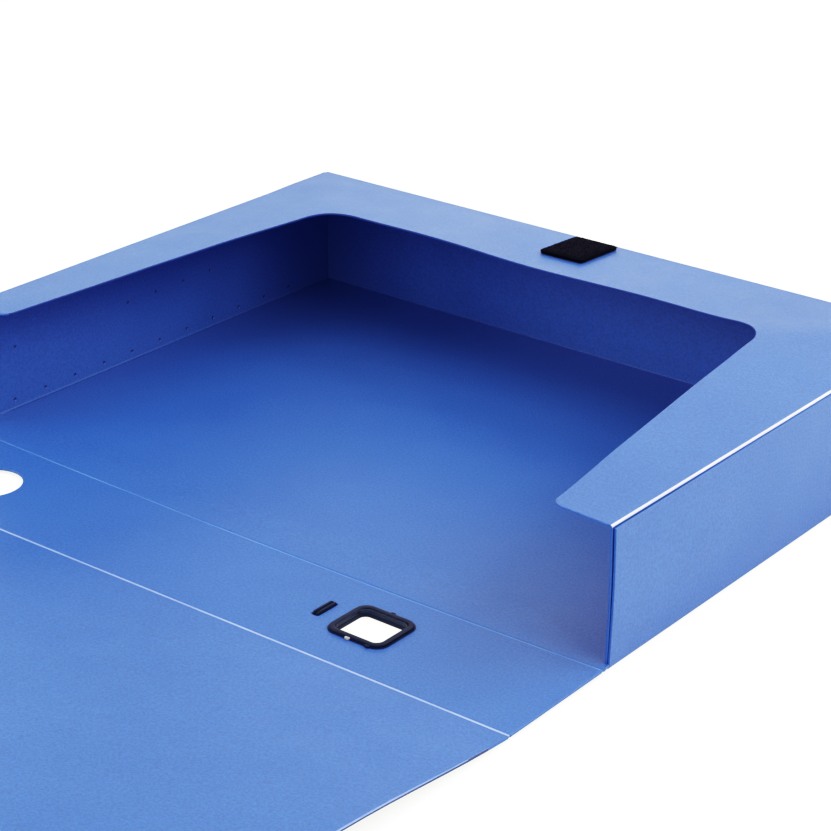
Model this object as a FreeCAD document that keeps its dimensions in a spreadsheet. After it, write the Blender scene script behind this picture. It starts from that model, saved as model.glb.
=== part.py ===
import FreeCAD, Part
import math
import os

import Sketcher
from FreeCAD import Placement, Rotation, Vector

# Archival box of creased polypropylene sheet, lying open. Millimetres.
# Origin at the centre of the tray's underside, +X along the spine to the right, +Y from the spine
# towards the fore-edge wall, +Z up.
# One blank makes every panel: cover | spine | base | fore-edge wall | rim flange. The outer side
# walls fold up from the base, the inner side walls fold down from the rim, and weld spots join them.

DIMENSIONS = {
    "box_length": 320.0,  # tray, along the spine
    "box_width": 230.0,  # tray, spine side to fore edge
    "box_height": 55.0,  # tray, underside to top of the rim
    "sheet": 1.0,  # thickness of the sheet
    "wall_gap": 1.0,  # space between the outer and inner side walls
    "fold_round": 0.9,  # outer radius of a folded edge
    "reach": 5.2,  # near ends of the side walls to the spine crease
    "lift": 0.8,  # rise of the near margin, so that the fittings under the spine clear the table
    "lift_run": 3.4,  # length of that ramp
    "web": 0.4,  # thickness of the sheet left in a crease
    "web_half": 0.8,  # half the width of a crease
    "spine_width": 54.2,  # crease to crease
    "cover_length": 235.0,  # crease to free edge
    "cover_rest": 4.1,  # degrees that the cover stands up at rest
    "cover_round": 5.0,  # free corners of the cover
    "flange_near": 24.3,  # width of the side flanges at their near ends
    "flange_side": 46.4,  # and where they meet the far flange
    "flange_far": 52.0,  # width of the far flange
    "flange_corner": 18.0,  # radius of the cut-out's far corners
    "flange_end": 4.5,  # radius of the flanges' near inner corners
    "tab_length": 30.0,  # corner tabs between the double walls
    "tab_low": 3.0,
    "tab_high": 50.0,
    "tab_thick": 0.9,
    "tab_taper": 8.0,  # narrowing at the near end, above and below
    "wall_foot": 0.2,  # inner walls stop this far above the floor
    "weld_dia": 1.2,
    "weld_pit": 0.3,  # depth of the pit at each weld
    "weld_pitch": 17.55,
    "weld_start": 21.6,  # first weld of the low row, from the walls' near ends
    "weld_low": 6.5,  # heights of the two rows above the underside
    "weld_high": 30.0,
    "weld_upper": 89.6,  # first weld of the high row
    "weld_shift": 1.1,  # single high weld, beyond weld_start
    "weld_count": 11.0,
    "weld_count_upper": 4.0,
    "finger_dia": 26.0,
    "finger_across": -111.6,  # finger hole, from the middle of the spine
    "finger_down": 28.8,  # and from the spine crease
    "ring_across": 82.2,  # retaining ring, likewise
    "ring_down": 25.3,
    "ring_long": 23.4,
    "ring_wide": 19.8,
    "ring_high": 1.2,
    "ring_corner": 5.0,
    "ring_ease": 0.35,
    "collar_long": 20.6,
    "collar_wide": 17.6,
    "collar_corner": 4.4,
    "open_long": 18.6,  # opening through the collar
    "open_wide": 15.8,
    "open_corner": 3.6,
    "collar_play": 0.05,  # ring over collar
    "cut_play": 0.2,  # holes in the sheet round the collar and the tab
    "slot_corner": 0.3,
    "plate_left": 27.6,  # plate of the finger pull, from the ring's middle
    "plate_right": 15.0,
    "plate_wide": 26.0,
    "plate_thick": 0.75,
    "plate_corner": 6.0,
    "clip_across": -23.0,  # split tab, from the ring's middle
    "clip_down": 0.6,
    "clip_long": 11.0,
    "clip_wide": 2.8,
    "clip_high": 1.1,  # above the spine
    "clip_groove": 0.7,
    "clip_groove_deep": 0.7,
    "ear_long": 2.2,
    "ear_proud": 0.6,
    "ear_high": 0.8,
    "ear_left": -7.2,  # two ears on the ring's -Y side, from its middle
    "ear_right": 7.0,
    "ear_far": 4.6,  # one ear on its +Y side
    "pocket_left": -92.0,  # label pocket along the spine
    "pocket_right": 46.0,
    "pocket_wide": 44.0,
    "pocket_down": 27.0,
    "pocket_seam": 2.0,
    "pocket_overcut": 1.0,  # the room runs out past the open end
    "film": 0.2,
    "card": 0.23,
    "card_play": 0.04,
    "card_inset": 0.8,  # card behind the pocket's open end
    "card_ease": 0.5,  # card to the seams
    "patch_long": 23.0,
    "patch_wide": 24.0,
    "patch_from_edge": 21.0,  # middle of the loop patch to the fore edge
    "patch_corner": 1.2,
    "glue": 0.2,
    "loop_thick": 1.6,
    "loop_ease": 0.4,
    "hook_thick": 0.9,
    "hook_ease": 0.3,
}


# ---------------------------------------------------------------- sizes bound to the spreadsheet
class Size:
    """A number together with the spreadsheet expression that gives it."""

    def __init__(self, value, text=None):
        self.value = value
        self.text = text or repr(value)

    def __add__(self, other):
        other = as_size(other)
        return Size(self.value + other.value, "(%s + %s)" % (self.text, other.text))

    def __sub__(self, other):
        other = as_size(other)
        return Size(self.value - other.value, "(%s - %s)" % (self.text, other.text))

    def __mul__(self, other):
        other = as_size(other)
        return Size(self.value * other.value, "(%s * %s)" % (self.text, other.text))

    def __truediv__(self, number):
        return Size(self.value / number, "(%s / %r)" % (self.text, number))

    def __neg__(self):
        return Size(-self.value, "(-1 * %s)" % self.text)


def as_size(number):
    return number if isinstance(number, Size) else Size(number)


class dim:
    """Holds one Size for each driving dimension."""


doc = FreeCAD.newDocument("archival_box")
table = doc.addObject("Spreadsheet::Sheet", "dims")
for row, (alias, number) in enumerate(DIMENSIONS.items(), start=1):
    table.set("A%d" % row, alias)
    table.set("B%d" % row, repr(number))
    table.setAlias("B%d" % row, alias)
    setattr(dim, alias, Size(number, "dims." + alias))
doc.recompute()

ZERO = Size(0.0)
HALF_L = dim.box_length / 2
HALF_W = dim.box_width / 2
SPINE_CREASE_Y = -HALF_W - dim.reach
COVER_CREASE_Y = SPINE_CREASE_Y - dim.spine_width
CREASE_Z = dim.lift + dim.sheet / 2  # middle of the sheet, at both creases
RING_Y = -dim.ring_down  # from the spine crease

rest = math.radians(dim.cover_rest.value)
REST_COS = Size(math.cos(rest), "cos(dims.cover_rest * 1 deg)")
REST_SIN = Size(math.sin(rest), "sin(dims.cover_rest * 1 deg)")
REST_HALF_TAN = Size(math.tan(rest / 2), "tan(dims.cover_rest / 2 * 1 deg)")

nodes = []  # the pieces to export


def bind(obj, prop, size):
    setattr(obj, prop, size.value)
    obj.setExpression(prop, size.text)


def place(obj, x=ZERO, y=ZERO, z=ZERO, axis=Vector(0, 0, 1), angle=0.0):
    """Puts a piece in the box's frame."""
    obj.Placement = Placement(Vector(x.value, y.value, z.value), Rotation(axis, angle))
    for letter, size in (("x", x), ("y", y), ("z", z)):
        obj.setExpression("Placement.Base." + letter, size.text)


def place_on_cover(obj, z):
    """Puts a piece in the plane of the standing cover, z above the middle of its sheet."""
    y = COVER_CREASE_Y + z * REST_SIN
    up = CREASE_Z + z * REST_COS
    place(obj, ZERO, y, up, Vector(1, 0, 0), -dim.cover_rest.value)


# ---------------------------------------------------------------- sketches
def new_body(name):
    body = doc.addObject("PartDesign::Body", name)
    body.Label = name
    nodes.append(body)
    return body


def new_sketch(body, name, role, offset=None):
    sketch = body.newObject("Sketcher::SketchObject", name)
    plane = next(f for f in body.Origin.OriginFeatures if f.Role == role)
    sketch.AttachmentSupport = [(plane, "")]
    sketch.MapMode = "FlatFace"
    if offset is not None:
        sketch.AttachmentOffset = Placement(Vector(0, 0, offset.value), Rotation())
        sketch.setExpression("AttachmentOffset.Base.z", offset.text)
    return sketch


def constrain(sketch, kind, references, size):
    index = sketch.addConstraint(Sketcher.Constraint(kind, *references, size.value))
    sketch.setExpression("Constraints[%d]" % index, size.text)


def hold_point(sketch, geometry, point, x, y):
    """Holds a point of the geometry by its two distances from the sketch's origin."""
    constrain(sketch, "DistanceX", (-1, 1, geometry, point), x)
    constrain(sketch, "DistanceY", (-1, 1, geometry, point), y)


def flat(point):
    return Vector(point[0].value, point[1].value, 0)


def polygon(sketch, points):
    """A closed outline in an empty sketch, held by its corners."""
    count = len(points)
    for i in range(count):
        line = Part.LineSegment(flat(points[i]), flat(points[(i + 1) % count]))
        sketch.addGeometry(line, False)
    for i in range(count):
        sketch.addConstraint(Sketcher.Constraint("Coincident", i, 2, (i + 1) % count, 1))
    for i, (x, y) in enumerate(points):
        hold_point(sketch, i, 1, x, y)


def rectangle(sketch, left, right, low, high):
    polygon(sketch, [(left, low), (right, low), (right, high), (left, high)])


def circle(sketch, x, y, radius):
    ring = Part.Circle(flat((x, y)), Vector(0, 0, 1), radius.value)
    geometry = sketch.addGeometry(ring, False)
    hold_point(sketch, geometry, 3, x, y)
    constrain(sketch, "Radius", (geometry,), radius)


def rounded_rectangle(sketch, x, y, long, wide, corner):
    """A rectangle about (x, y) in an empty sketch, held by its arc centres and radii."""
    half_x = long / 2 - corner
    half_y = wide / 2 - corner
    radius = corner.value
    # corner's side in x and y, and the outward direction of the straight line before it
    corners = (
        (1, -1, Vector(0, -1, 0)),
        (1, 1, Vector(1, 0, 0)),
        (-1, 1, Vector(0, 1, 0)),
        (-1, -1, Vector(-1, 0, 0)),
    )
    centres = [(x + half_x * side_x, y + half_y * side_y) for side_x, side_y, _ in corners]
    for i, (_, _, outward) in enumerate(corners):
        shift = outward * radius
        line = Part.LineSegment(flat(centres[i - 1]) + shift, flat(centres[i]) + shift)
        sketch.addGeometry(line, False)
        whole = Part.Circle(flat(centres[i]), Vector(0, 0, 1), radius)
        start = math.radians(90 * (i - 1))
        sketch.addGeometry(Part.ArcOfCircle(whole, start, start + math.pi / 2), False)
    for i in range(8):
        sketch.addConstraint(Sketcher.Constraint("Tangent", i, 2, (i + 1) % 8, 1))
    for i, centre in enumerate(centres):
        arc = 2 * i + 1
        hold_point(sketch, arc, 3, *centre)
        constrain(sketch, "Radius", (arc,), corner)


# ---------------------------------------------------------------- solid features
def pad(body, sketch, length, name):
    feature = body.newObject("PartDesign::Pad", name)
    feature.Profile = sketch
    bind(feature, "Length", length)
    doc.recompute()


def recompute_cut(body, volume_before, name):
    """Recomputes, and fails if the last feature removed nothing."""
    doc.recompute()
    if not body.Shape.Volume < volume_before - 1e-6:
        raise RuntimeError("%s cut nothing" % name)


def cut(body, sketch, name, length=None, reverse=True):
    """A pocket, through everything unless a depth is given."""
    before = body.Shape.Volume
    pocket = body.newObject("PartDesign::Pocket", name)
    pocket.Profile = sketch
    if length is None:
        pocket.Type = 1
    else:
        bind(pocket, "Length", length)
    pocket.Reversed = reverse
    recompute_cut(body, before, name)
    return pocket


def fillet(body, name, radius, wanted, count=None):
    """Rounds the edges of the body's tip for which wanted(edge) is true."""
    tip = body.Tip
    picked = ["Edge%d" % i for i, edge in enumerate(tip.Shape.Edges, start=1) if wanted(edge)]
    if not picked or (count is not None and len(picked) != count):
        raise RuntimeError("%s found %d edges" % (name, len(picked)))
    feature = body.newObject("PartDesign::Fillet", name)
    feature.Base = (tip, picked)
    bind(feature, "Radius", radius)
    doc.recompute()


def is_upright(edge, x, y):
    """True for an edge along Z that stands at (x, y) or (-x, y)."""
    if len(edge.Vertexes) != 2:
        return False
    start, end = (v.Point for v in edge.Vertexes)
    if abs(start.x - end.x) > 1e-6 or abs(start.y - end.y) > 1e-6:
        return False
    return abs(abs(start.x) - x.value) < 0.02 and abs(start.y - y.value) < 0.02


def lies(edge, axis, **at):
    """True for a straight edge along the axis whose other coordinates are as stated."""
    if len(edge.Vertexes) != 2:
        return False
    start, end = (v.Point for v in edge.Vertexes)
    span = end - start
    if abs(getattr(span, axis)) < 0.999 * span.Length:
        return False
    middle = (start + end) * 0.5
    return all(abs(getattr(middle, key) - size.value) < 0.02 for key, size in at.items())


def is_fold(edge, left, right, z):
    """True for the left, right and fore-edge folds of a panel."""
    return (
        lies(edge, "y", x=left, z=z)
        or lies(edge, "y", x=right, z=z)
        or lies(edge, "x", y=HALF_W, z=z)
    )


def is_level(edge, z):
    box = edge.BoundBox
    at_height = all(abs(v.Point.z - z.value) < 0.01 for v in edge.Vertexes)
    return at_height and abs(box.ZMax - box.ZMin) < 0.01


def rectangle_pad(body, name, role, left, right, low, high, length):
    sketch = new_sketch(body, name + "_outline", role)
    rectangle(sketch, left, right, low, high)
    pad(body, sketch, length, name)


def rounded_pad(body, name, x, y, long, wide, high, corner):
    sketch = new_sketch(body, name + "_outline", "XY_Plane")
    rounded_rectangle(sketch, x, y, long, wide, corner)
    pad(body, sketch, high, name)


def rounded_cut(body, name, x, y, long, wide, corner):
    """A hole with four rounded corners, right through."""
    sketch = new_sketch(body, name + "_outline", "XY_Plane")
    rounded_rectangle(sketch, x, y, long, wide, corner)
    cut(body, sketch, name)


# ---------------------------------------------------------------- tray
def base_panel():
    """The floor, with a near margin that ramps up to the spine crease."""
    body = new_body("base_panel")
    section = new_sketch(body, "base_section", "YZ_Plane")
    ramp_end = -HALF_W - dim.lift_run
    near_edge = SPINE_CREASE_Y + dim.web_half
    raised = dim.sheet + dim.lift
    polygon(
        section,
        [
            (HALF_W, ZERO),
            (HALF_W, dim.sheet),
            (-HALF_W, dim.sheet),
            (ramp_end, raised),
            (near_edge, raised),
            (near_edge, dim.lift),
            (ramp_end, dim.lift),
            (-HALF_W, ZERO),
        ],
    )
    pad(body, section, dim.box_length, "base_sheet")
    folds = lambda edge: is_fold(edge, ZERO, dim.box_length, ZERO)
    fillet(body, "base_folds", dim.fold_round, folds, 3)
    place(body, -HALF_L)


def fore_edge_wall():
    """Stands on the base along the far side."""
    body = new_body("fore_edge_wall")
    long = dim.box_length - dim.sheet * 2
    high = dim.box_height - dim.sheet * 2
    rectangle_pad(body, "fore_edge_sheet", "XZ_Plane", ZERO, long, ZERO, high, dim.sheet)
    place(body, dim.sheet - HALF_L, HALF_W, dim.sheet)


def outer_wall(name, x):
    """Stands on the base."""
    body = new_body(name)
    high = dim.box_height - dim.sheet * 2
    rectangle_pad(
        body, name + "_sheet", "YZ_Plane", ZERO, dim.box_width, ZERO, high, dim.sheet
    )
    place(body, x, -HALF_W, dim.sheet)


def weld_rows():
    """Rows of welds as (first y, z, count), from the near end and the foot of the inner wall."""
    foot = dim.sheet + dim.wall_foot
    return [
        (dim.weld_start, dim.weld_low - foot, dim.weld_count),
        (dim.weld_upper, dim.weld_high - foot, dim.weld_count_upper),
        (dim.weld_start + dim.weld_shift, dim.weld_high - foot, Size(1)),
    ]


def inner_wall(name, x, right):
    """Hangs from the rim, with weld pits in the face towards the tray's room."""
    body = new_body(name)
    long = dim.box_width - dim.sheet
    high = dim.box_height - dim.sheet * 2 - dim.wall_foot
    rectangle_pad(body, name + "_sheet", "YZ_Plane", ZERO, long, ZERO, high, dim.sheet)
    pitted_face = None if right else dim.sheet
    for i, (y, z, count) in enumerate(weld_rows()):
        pit_name = "%s_pit%d" % (name, i)
        sketch = new_sketch(body, pit_name + "_outline", "YZ_Plane", pitted_face)
        circle(sketch, y, z, dim.weld_dia / 2)
        pit = cut(body, sketch, pit_name, dim.weld_pit, reverse=right)
        if count.value == 1:
            continue
        before = body.Shape.Volume
        row = body.newObject("PartDesign::LinearPattern", "%s_row%d" % (name, i))
        row.Originals = [pit]
        row.Direction = (sketch, ["H_Axis"])
        bind(row, "Length", dim.weld_pitch * (count - 1))
        row.Occurrences = int(count.value)
        row.setExpression("Occurrences", count.text)
        body.Tip = row
        recompute_cut(body, before, row.Name)
    place(body, x, -HALF_W, dim.sheet + dim.wall_foot)


def wall_welds(name, x):
    """Short plugs of fused sheet that bridge the gap between the two skins of a side."""
    plugs = []
    for y, z, count in weld_rows():
        for k in range(int(count.value)):
            plug = doc.addObject("Part::Cylinder", "%s_%d" % (name, len(plugs)))
            bind(plug, "Radius", dim.weld_dia / 2)
            bind(plug, "Height", dim.wall_gap)
            along = y - HALF_W + dim.weld_pitch * k
            up = z + dim.sheet + dim.wall_foot
            place(plug, x, along, up, Vector(0, 1, 0), 90.0)
            plugs.append(plug)
    group = doc.addObject("Part::Compound", name)
    group.Label = name
    group.Links = plugs
    nodes.append(group)


def corner_tab(name, gap_middle):
    """Folds back from an end of the fore-edge wall into the gap of the double wall."""
    body = new_body(name)
    outline = new_sketch(body, name + "_outline", "YZ_Plane")
    polygon(
        outline,
        [
            (ZERO, dim.tab_low + dim.tab_taper),
            (dim.tab_length, dim.tab_low),
            (dim.tab_length, dim.tab_high),
            (ZERO, dim.tab_high - dim.tab_taper),
        ],
    )
    pad(body, outline, dim.tab_thick, name + "_sheet")
    place(body, gap_middle - dim.tab_thick / 2, HALF_W - dim.sheet - dim.tab_length)


def rim_flange():
    """A U of sheet, narrower towards the near ends, with a rounded cut-out."""
    body = new_body("rim_flange")
    outline = new_sketch(body, "rim_outline", "XY_Plane")
    cut_y = HALF_W - dim.flange_far
    near_x = HALF_L - dim.flange_near
    far_x = HALF_L - dim.flange_side
    polygon(
        outline,
        [
            (-HALF_L, -HALF_W),
            (-near_x, -HALF_W),
            (-far_x, cut_y),
            (far_x, cut_y),
            (near_x, -HALF_W),
            (HALF_L, -HALF_W),
            (HALF_L, HALF_W),
            (-HALF_L, HALF_W),
        ],
    )
    pad(body, outline, dim.sheet, "rim_sheet")
    cut_corners = lambda edge: is_upright(edge, far_x, cut_y)
    fillet(body, "rim_cut_corners", dim.flange_corner, cut_corners, 2)
    end_corners = lambda edge: is_upright(edge, near_x, -HALF_W)
    fillet(body, "rim_end_corners", dim.flange_end, end_corners, 2)
    folds = lambda edge: is_fold(edge, -HALF_L, HALF_L, dim.sheet)
    fillet(body, "rim_folds", dim.fold_round, folds, 3)
    place(body, z=dim.box_height - dim.sheet)


# ---------------------------------------------------------------- spine
def spine_panel():
    """A flat panel with a finger hole, a hole for the collar and a slot for the split tab."""
    body = new_body("spine_panel")
    near, far = dim.web_half - dim.spine_width, -dim.web_half
    rectangle_pad(body, "spine_sheet", "XY_Plane", -HALF_L, HALF_L, near, far, dim.sheet)
    sketch = new_sketch(body, "finger_hole_outline", "XY_Plane")
    circle(sketch, dim.finger_across, -dim.finger_down, dim.finger_dia / 2)
    cut(body, sketch, "finger_hole")
    play = dim.cut_play * 2
    rounded_cut(
        body,
        "collar_hole",
        dim.ring_across,
        RING_Y,
        dim.collar_long + play,
        dim.collar_wide + play,
        dim.collar_corner + dim.cut_play,
    )
    rounded_cut(
        body,
        "clip_slot",
        dim.ring_across + dim.clip_across,
        RING_Y - dim.clip_down,
        dim.clip_wide + play,
        dim.clip_long + play,
        dim.slot_corner,
    )
    place(body, ZERO, SPINE_CREASE_Y, dim.lift)


def spine_hinge_web():
    """The thin strip of sheet left in the crease between base and spine."""
    body = new_body("spine_hinge_web")
    half, thick = dim.web_half, dim.web / 2
    rectangle_pad(
        body, "spine_web_strip", "YZ_Plane", -half, half, -thick, thick, dim.box_length
    )
    place(body, -HALF_L, SPINE_CREASE_Y, CREASE_Z)


def finger_pull():
    """A thin plate under the spine, a square collar through it and a split tab in the slot."""
    body = new_body("finger_pull")
    rounded_pad(
        body,
        "pull_plate",
        (dim.plate_right - dim.plate_left) / 2,
        ZERO,
        dim.plate_left + dim.plate_right,
        dim.plate_wide,
        dim.plate_thick,
        dim.plate_corner,
    )
    spine_top = dim.lift + dim.sheet
    rounded_pad(
        body,
        "pull_collar",
        ZERO,
        ZERO,
        dim.collar_long,
        dim.collar_wide,
        spine_top + dim.ring_high - dim.ring_ease / 2,
        dim.collar_corner,
    )
    rounded_cut(
        body, "pull_opening", ZERO, ZERO, dim.open_long, dim.open_wide, dim.open_corner
    )
    clip_x, half = dim.clip_across, dim.clip_wide / 2
    low = -dim.clip_down - dim.clip_long / 2
    high = low + dim.clip_long
    clip_top = spine_top + dim.clip_high
    rectangle_pad(body, "clip", "XY_Plane", clip_x - half, clip_x + half, low, high, clip_top)
    groove = new_sketch(body, "clip_groove_outline", "XY_Plane", clip_top)
    half = dim.clip_groove / 2
    rectangle(groove, clip_x - half, clip_x + half, low, high)
    cut(body, groove, "clip_groove", dim.clip_groove_deep, reverse=False)
    place(body, dim.ring_across, SPINE_CREASE_Y + RING_Y)


def retaining_ring():
    """Fits over the collar on top of the spine, with three small ears round its foot."""
    body = new_body("retaining_ring")
    rounded_pad(
        body,
        "ring_block",
        ZERO,
        ZERO,
        dim.ring_long,
        dim.ring_wide,
        dim.ring_high,
        dim.ring_corner,
    )
    fillet(body, "ring_ease", dim.ring_ease, lambda edge: is_level(edge, dim.ring_high))
    for i, (x, side) in enumerate(((dim.ear_left, -1), (dim.ear_right, -1), (dim.ear_far, 1))):
        ends = (
            (dim.ring_wide / 2 - dim.ring_ease) * side,
            (dim.ring_wide / 2 + dim.ear_proud) * side,
        )
        low, high = sorted(ends, key=lambda size: size.value)
        half = dim.ear_long / 2
        rectangle_pad(
            body, "ear%d" % i, "XY_Plane", x - half, x + half, low, high, dim.ear_high
        )
    rounded_cut(
        body,
        "ring_bore",
        ZERO,
        ZERO,
        dim.collar_long + dim.collar_play * 2,
        dim.collar_wide + dim.collar_play * 2,
        dim.collar_corner + dim.collar_play,
    )
    place(body, dim.ring_across, SPINE_CREASE_Y + RING_Y, dim.lift + dim.sheet)


def label_pocket_and_card():
    """A film under the spine, joined along three sides and open at the left, and its card."""
    low = -dim.pocket_down - dim.pocket_wide / 2
    high = low + dim.pocket_wide
    seam_right = dim.pocket_right - dim.pocket_seam
    seam_low, seam_high = low + dim.pocket_seam, high - dim.pocket_seam
    room_high = dim.card + dim.card_play * 2
    pocket_high = dim.film + room_high
    pocket_z = dim.lift - pocket_high

    pocket = new_body("label_pocket")
    rectangle_pad(
        pocket,
        "pocket_film",
        "XY_Plane",
        dim.pocket_left,
        dim.pocket_right,
        low,
        high,
        pocket_high,
    )
    room = new_sketch(pocket, "pocket_room_outline", "XY_Plane", pocket_high)
    open_end = dim.pocket_left - dim.pocket_overcut
    rectangle(room, open_end, seam_right, seam_low, seam_high)
    cut(pocket, room, "pocket_room", room_high, reverse=False)
    place(pocket, ZERO, SPINE_CREASE_Y, pocket_z)

    card = new_body("label_card")
    rectangle_pad(
        card,
        "card_stock",
        "XY_Plane",
        dim.pocket_left + dim.card_inset,
        seam_right - dim.card_ease,
        seam_low + dim.card_ease,
        seam_high - dim.card_ease,
        dim.card,
    )
    place(card, ZERO, SPINE_CREASE_Y, pocket_z + dim.film + dim.card_play)


# ---------------------------------------------------------------- cover
def cover_hinge_web():
    """The strip between spine and cover, bent by the angle that the cover stands up at rest."""
    body = new_body("cover_hinge_web")
    section = new_sketch(body, "cover_web_section", "YZ_Plane")
    half, thick = dim.web_half, dim.web / 2
    mitre = thick * REST_HALF_TAN
    end_y, end_z = -half * REST_COS, half * REST_SIN  # middle of the cover's edge
    thick_y, thick_z = thick * REST_SIN, thick * REST_COS
    polygon(
        section,
        [
            (half, -thick),
            (half, thick),
            (mitre, thick),
            (end_y + thick_y, end_z + thick_z),
            (end_y - thick_y, end_z - thick_z),
            (-mitre, -thick),
        ],
    )
    pad(body, section, dim.box_length, "cover_web_strip")
    place(body, -HALF_L, COVER_CREASE_Y, CREASE_Z)


def cover_panel():
    """Flat panel with rounded free corners."""
    body = new_body("cover_panel")
    free_y = -dim.cover_length
    rectangle_pad(
        body, "cover_sheet", "XY_Plane", -HALF_L, HALF_L, free_y, -dim.web_half, dim.sheet
    )
    corners = lambda edge: is_upright(edge, HALF_L, free_y)
    fillet(body, "cover_corners", dim.cover_round, corners, 2)
    place_on_cover(body, -dim.sheet / 2)


# ---------------------------------------------------------------- hook-and-loop fastener
def patch(name, y, high, ease=None):
    """A rounded patch or its adhesive; ease rounds the edges of its top."""
    body = new_body(name)
    rounded_pad(
        body, name + "_block", ZERO, y, dim.patch_long, dim.patch_wide, high, dim.patch_corner
    )
    if ease is not None:
        fillet(body, name + "_ease", ease, lambda edge: is_level(edge, high))
    return body


def fastener():
    loop_y = HALF_W - dim.patch_from_edge
    place(patch("loop_adhesive", loop_y, dim.glue), z=dim.box_height)
    loop = patch("loop_patch", loop_y, dim.loop_thick, dim.loop_ease)
    place(loop, z=dim.box_height + dim.glue)
    # As far from the cover's crease as the loop patch is from the spine's.
    hook_y = SPINE_CREASE_Y - loop_y
    place_on_cover(patch("hook_adhesive", hook_y, dim.glue), dim.sheet / 2)
    hook = patch("hook_patch", hook_y, dim.hook_thick, dim.hook_ease)
    place_on_cover(hook, dim.sheet / 2 + dim.glue)


# ---------------------------------------------------------------- build
outer_face = HALF_L - dim.sheet  # of the wall gap
inner_face = outer_face - dim.wall_gap
gap_middle = outer_face - dim.wall_gap / 2

base_panel()
fore_edge_wall()
outer_wall("left_outer_wall", -HALF_L)
outer_wall("right_outer_wall", outer_face)
inner_wall("left_inner_wall", -inner_face, False)
inner_wall("right_inner_wall", inner_face - dim.sheet, True)
wall_welds("left_wall_welds", -outer_face)
wall_welds("right_wall_welds", inner_face)
corner_tab("left_corner_tab", -gap_middle)
corner_tab("right_corner_tab", gap_middle)
rim_flange()
spine_panel()
spine_hinge_web()
finger_pull()
retaining_ring()
label_pocket_and_card()
cover_hinge_web()
cover_panel()
fastener()

# ---------------------------------------------------------------- checks and export
doc.recompute()
bad = [o.Name for o in doc.Objects if "Invalid" in o.State or "Error" in o.State]
if bad:
    raise RuntimeError("failed objects: %s" % bad)
for node in nodes:
    if node.Shape.isNull() or not node.Shape.isValid() or node.Shape.Volume <= 0:
        raise RuntimeError("bad shape: %s" % node.Label)
os.makedirs("parts", exist_ok=True)
for node in nodes:
    node.Shape.exportStep("parts/%s.step" % node.Label)
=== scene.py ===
"""A polypropylene document box lying open.

The tray stands on z = 0 with its length along x. Its open side faces -y (NEAR) and its fore-edge
wall stands at +y (FAR). The spine lies flat beyond the open side, and the cover runs on from it
towards -y, sloping up a little. Lengths are in millimetres and are scaled once, in new_object.
"""
import math

import bpy
import numpy as np
from mathutils import Matrix, Vector
from mathutils.geometry import delaunay_2d_cdt


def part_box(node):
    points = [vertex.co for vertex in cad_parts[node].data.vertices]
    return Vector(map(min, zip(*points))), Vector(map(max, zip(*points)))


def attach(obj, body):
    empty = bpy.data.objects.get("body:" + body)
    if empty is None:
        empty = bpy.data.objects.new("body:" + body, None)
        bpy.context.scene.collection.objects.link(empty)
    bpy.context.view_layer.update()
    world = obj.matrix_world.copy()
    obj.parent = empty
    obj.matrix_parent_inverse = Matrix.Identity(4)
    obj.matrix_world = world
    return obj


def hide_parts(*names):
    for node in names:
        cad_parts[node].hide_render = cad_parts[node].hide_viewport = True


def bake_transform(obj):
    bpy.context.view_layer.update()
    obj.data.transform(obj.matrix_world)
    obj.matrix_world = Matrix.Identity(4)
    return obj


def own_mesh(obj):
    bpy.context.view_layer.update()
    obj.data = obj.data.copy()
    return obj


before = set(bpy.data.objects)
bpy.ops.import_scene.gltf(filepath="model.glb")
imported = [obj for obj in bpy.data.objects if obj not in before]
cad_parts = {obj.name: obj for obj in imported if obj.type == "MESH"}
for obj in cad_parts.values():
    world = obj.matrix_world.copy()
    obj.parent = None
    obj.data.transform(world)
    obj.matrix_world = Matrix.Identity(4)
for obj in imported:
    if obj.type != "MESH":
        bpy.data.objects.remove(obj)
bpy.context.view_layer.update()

MM = 0.001


# ---------------------------------------------------------------------------
# driving dimensions
# ---------------------------------------------------------------------------
def box_mm(node):
    low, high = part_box(node)
    return np.array(low) / MM, np.array(high) / MM


rim_lo, rim_hi = box_mm("rim_flange")
spine_lo, spine_hi = box_mm("spine_panel")
ring_hi = box_mm("retaining_ring")[1]
pull_lo = box_mm("finger_pull")[0]
pocket_lo, pocket_hi = box_mm("label_pocket")
card_lo, card_hi = box_mm("label_card")
hook_lo, hook_hi = box_mm("hook_patch")
loop_lo, loop_hi = box_mm("loop_patch")
web1_lo, web1_hi = box_mm("spine_hinge_web")
web2_lo, web2_hi = box_mm("cover_hinge_web")

HALF = rim_hi[0]                       # half length of the box, at the rim fold
NEAR, FAR = rim_lo[1], rim_hi[1]       # near ends of the rim, fore edge
TOP = rim_hi[2]                        # flat top of the rim
SHEET = 0.9                            # sheet thickness in the folded walls
PANEL = 1.0                            # sheet thickness in base, spine and cover
FOLD = 1.2                             # outer radius of a fold
QUARTER = FOLD * math.pi / 2           # length of a right-angled fold
BEND_LINES = [QUARTER * k / 7 for k in range(1, 8)]
WALL_HEIGHT = 54.0                     # free height of the outer walls
WALL_TOP = TOP - FOLD                  # where the inner and far walls run into the rim fold
C1 = 0.5 * (web1_lo[1] + web1_hi[1])   # crease between base and spine
C2 = 0.5 * (web2_lo[1] + web2_hi[1])   # crease between spine and cover
AXIS_Z = 1.3                           # height of both creases
WEB = 0.8                              # half width of a crease
WIDE = HALF + 1.6                      # spine and cover reach over the outer walls
COVER_UP = math.radians(4.1)           # slope of the open cover
COVER_LONG = 235.0                     # crease to the cover's free edge
SPINE_MID = 0.5 * (spine_lo[2] + spine_hi[2])

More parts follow.
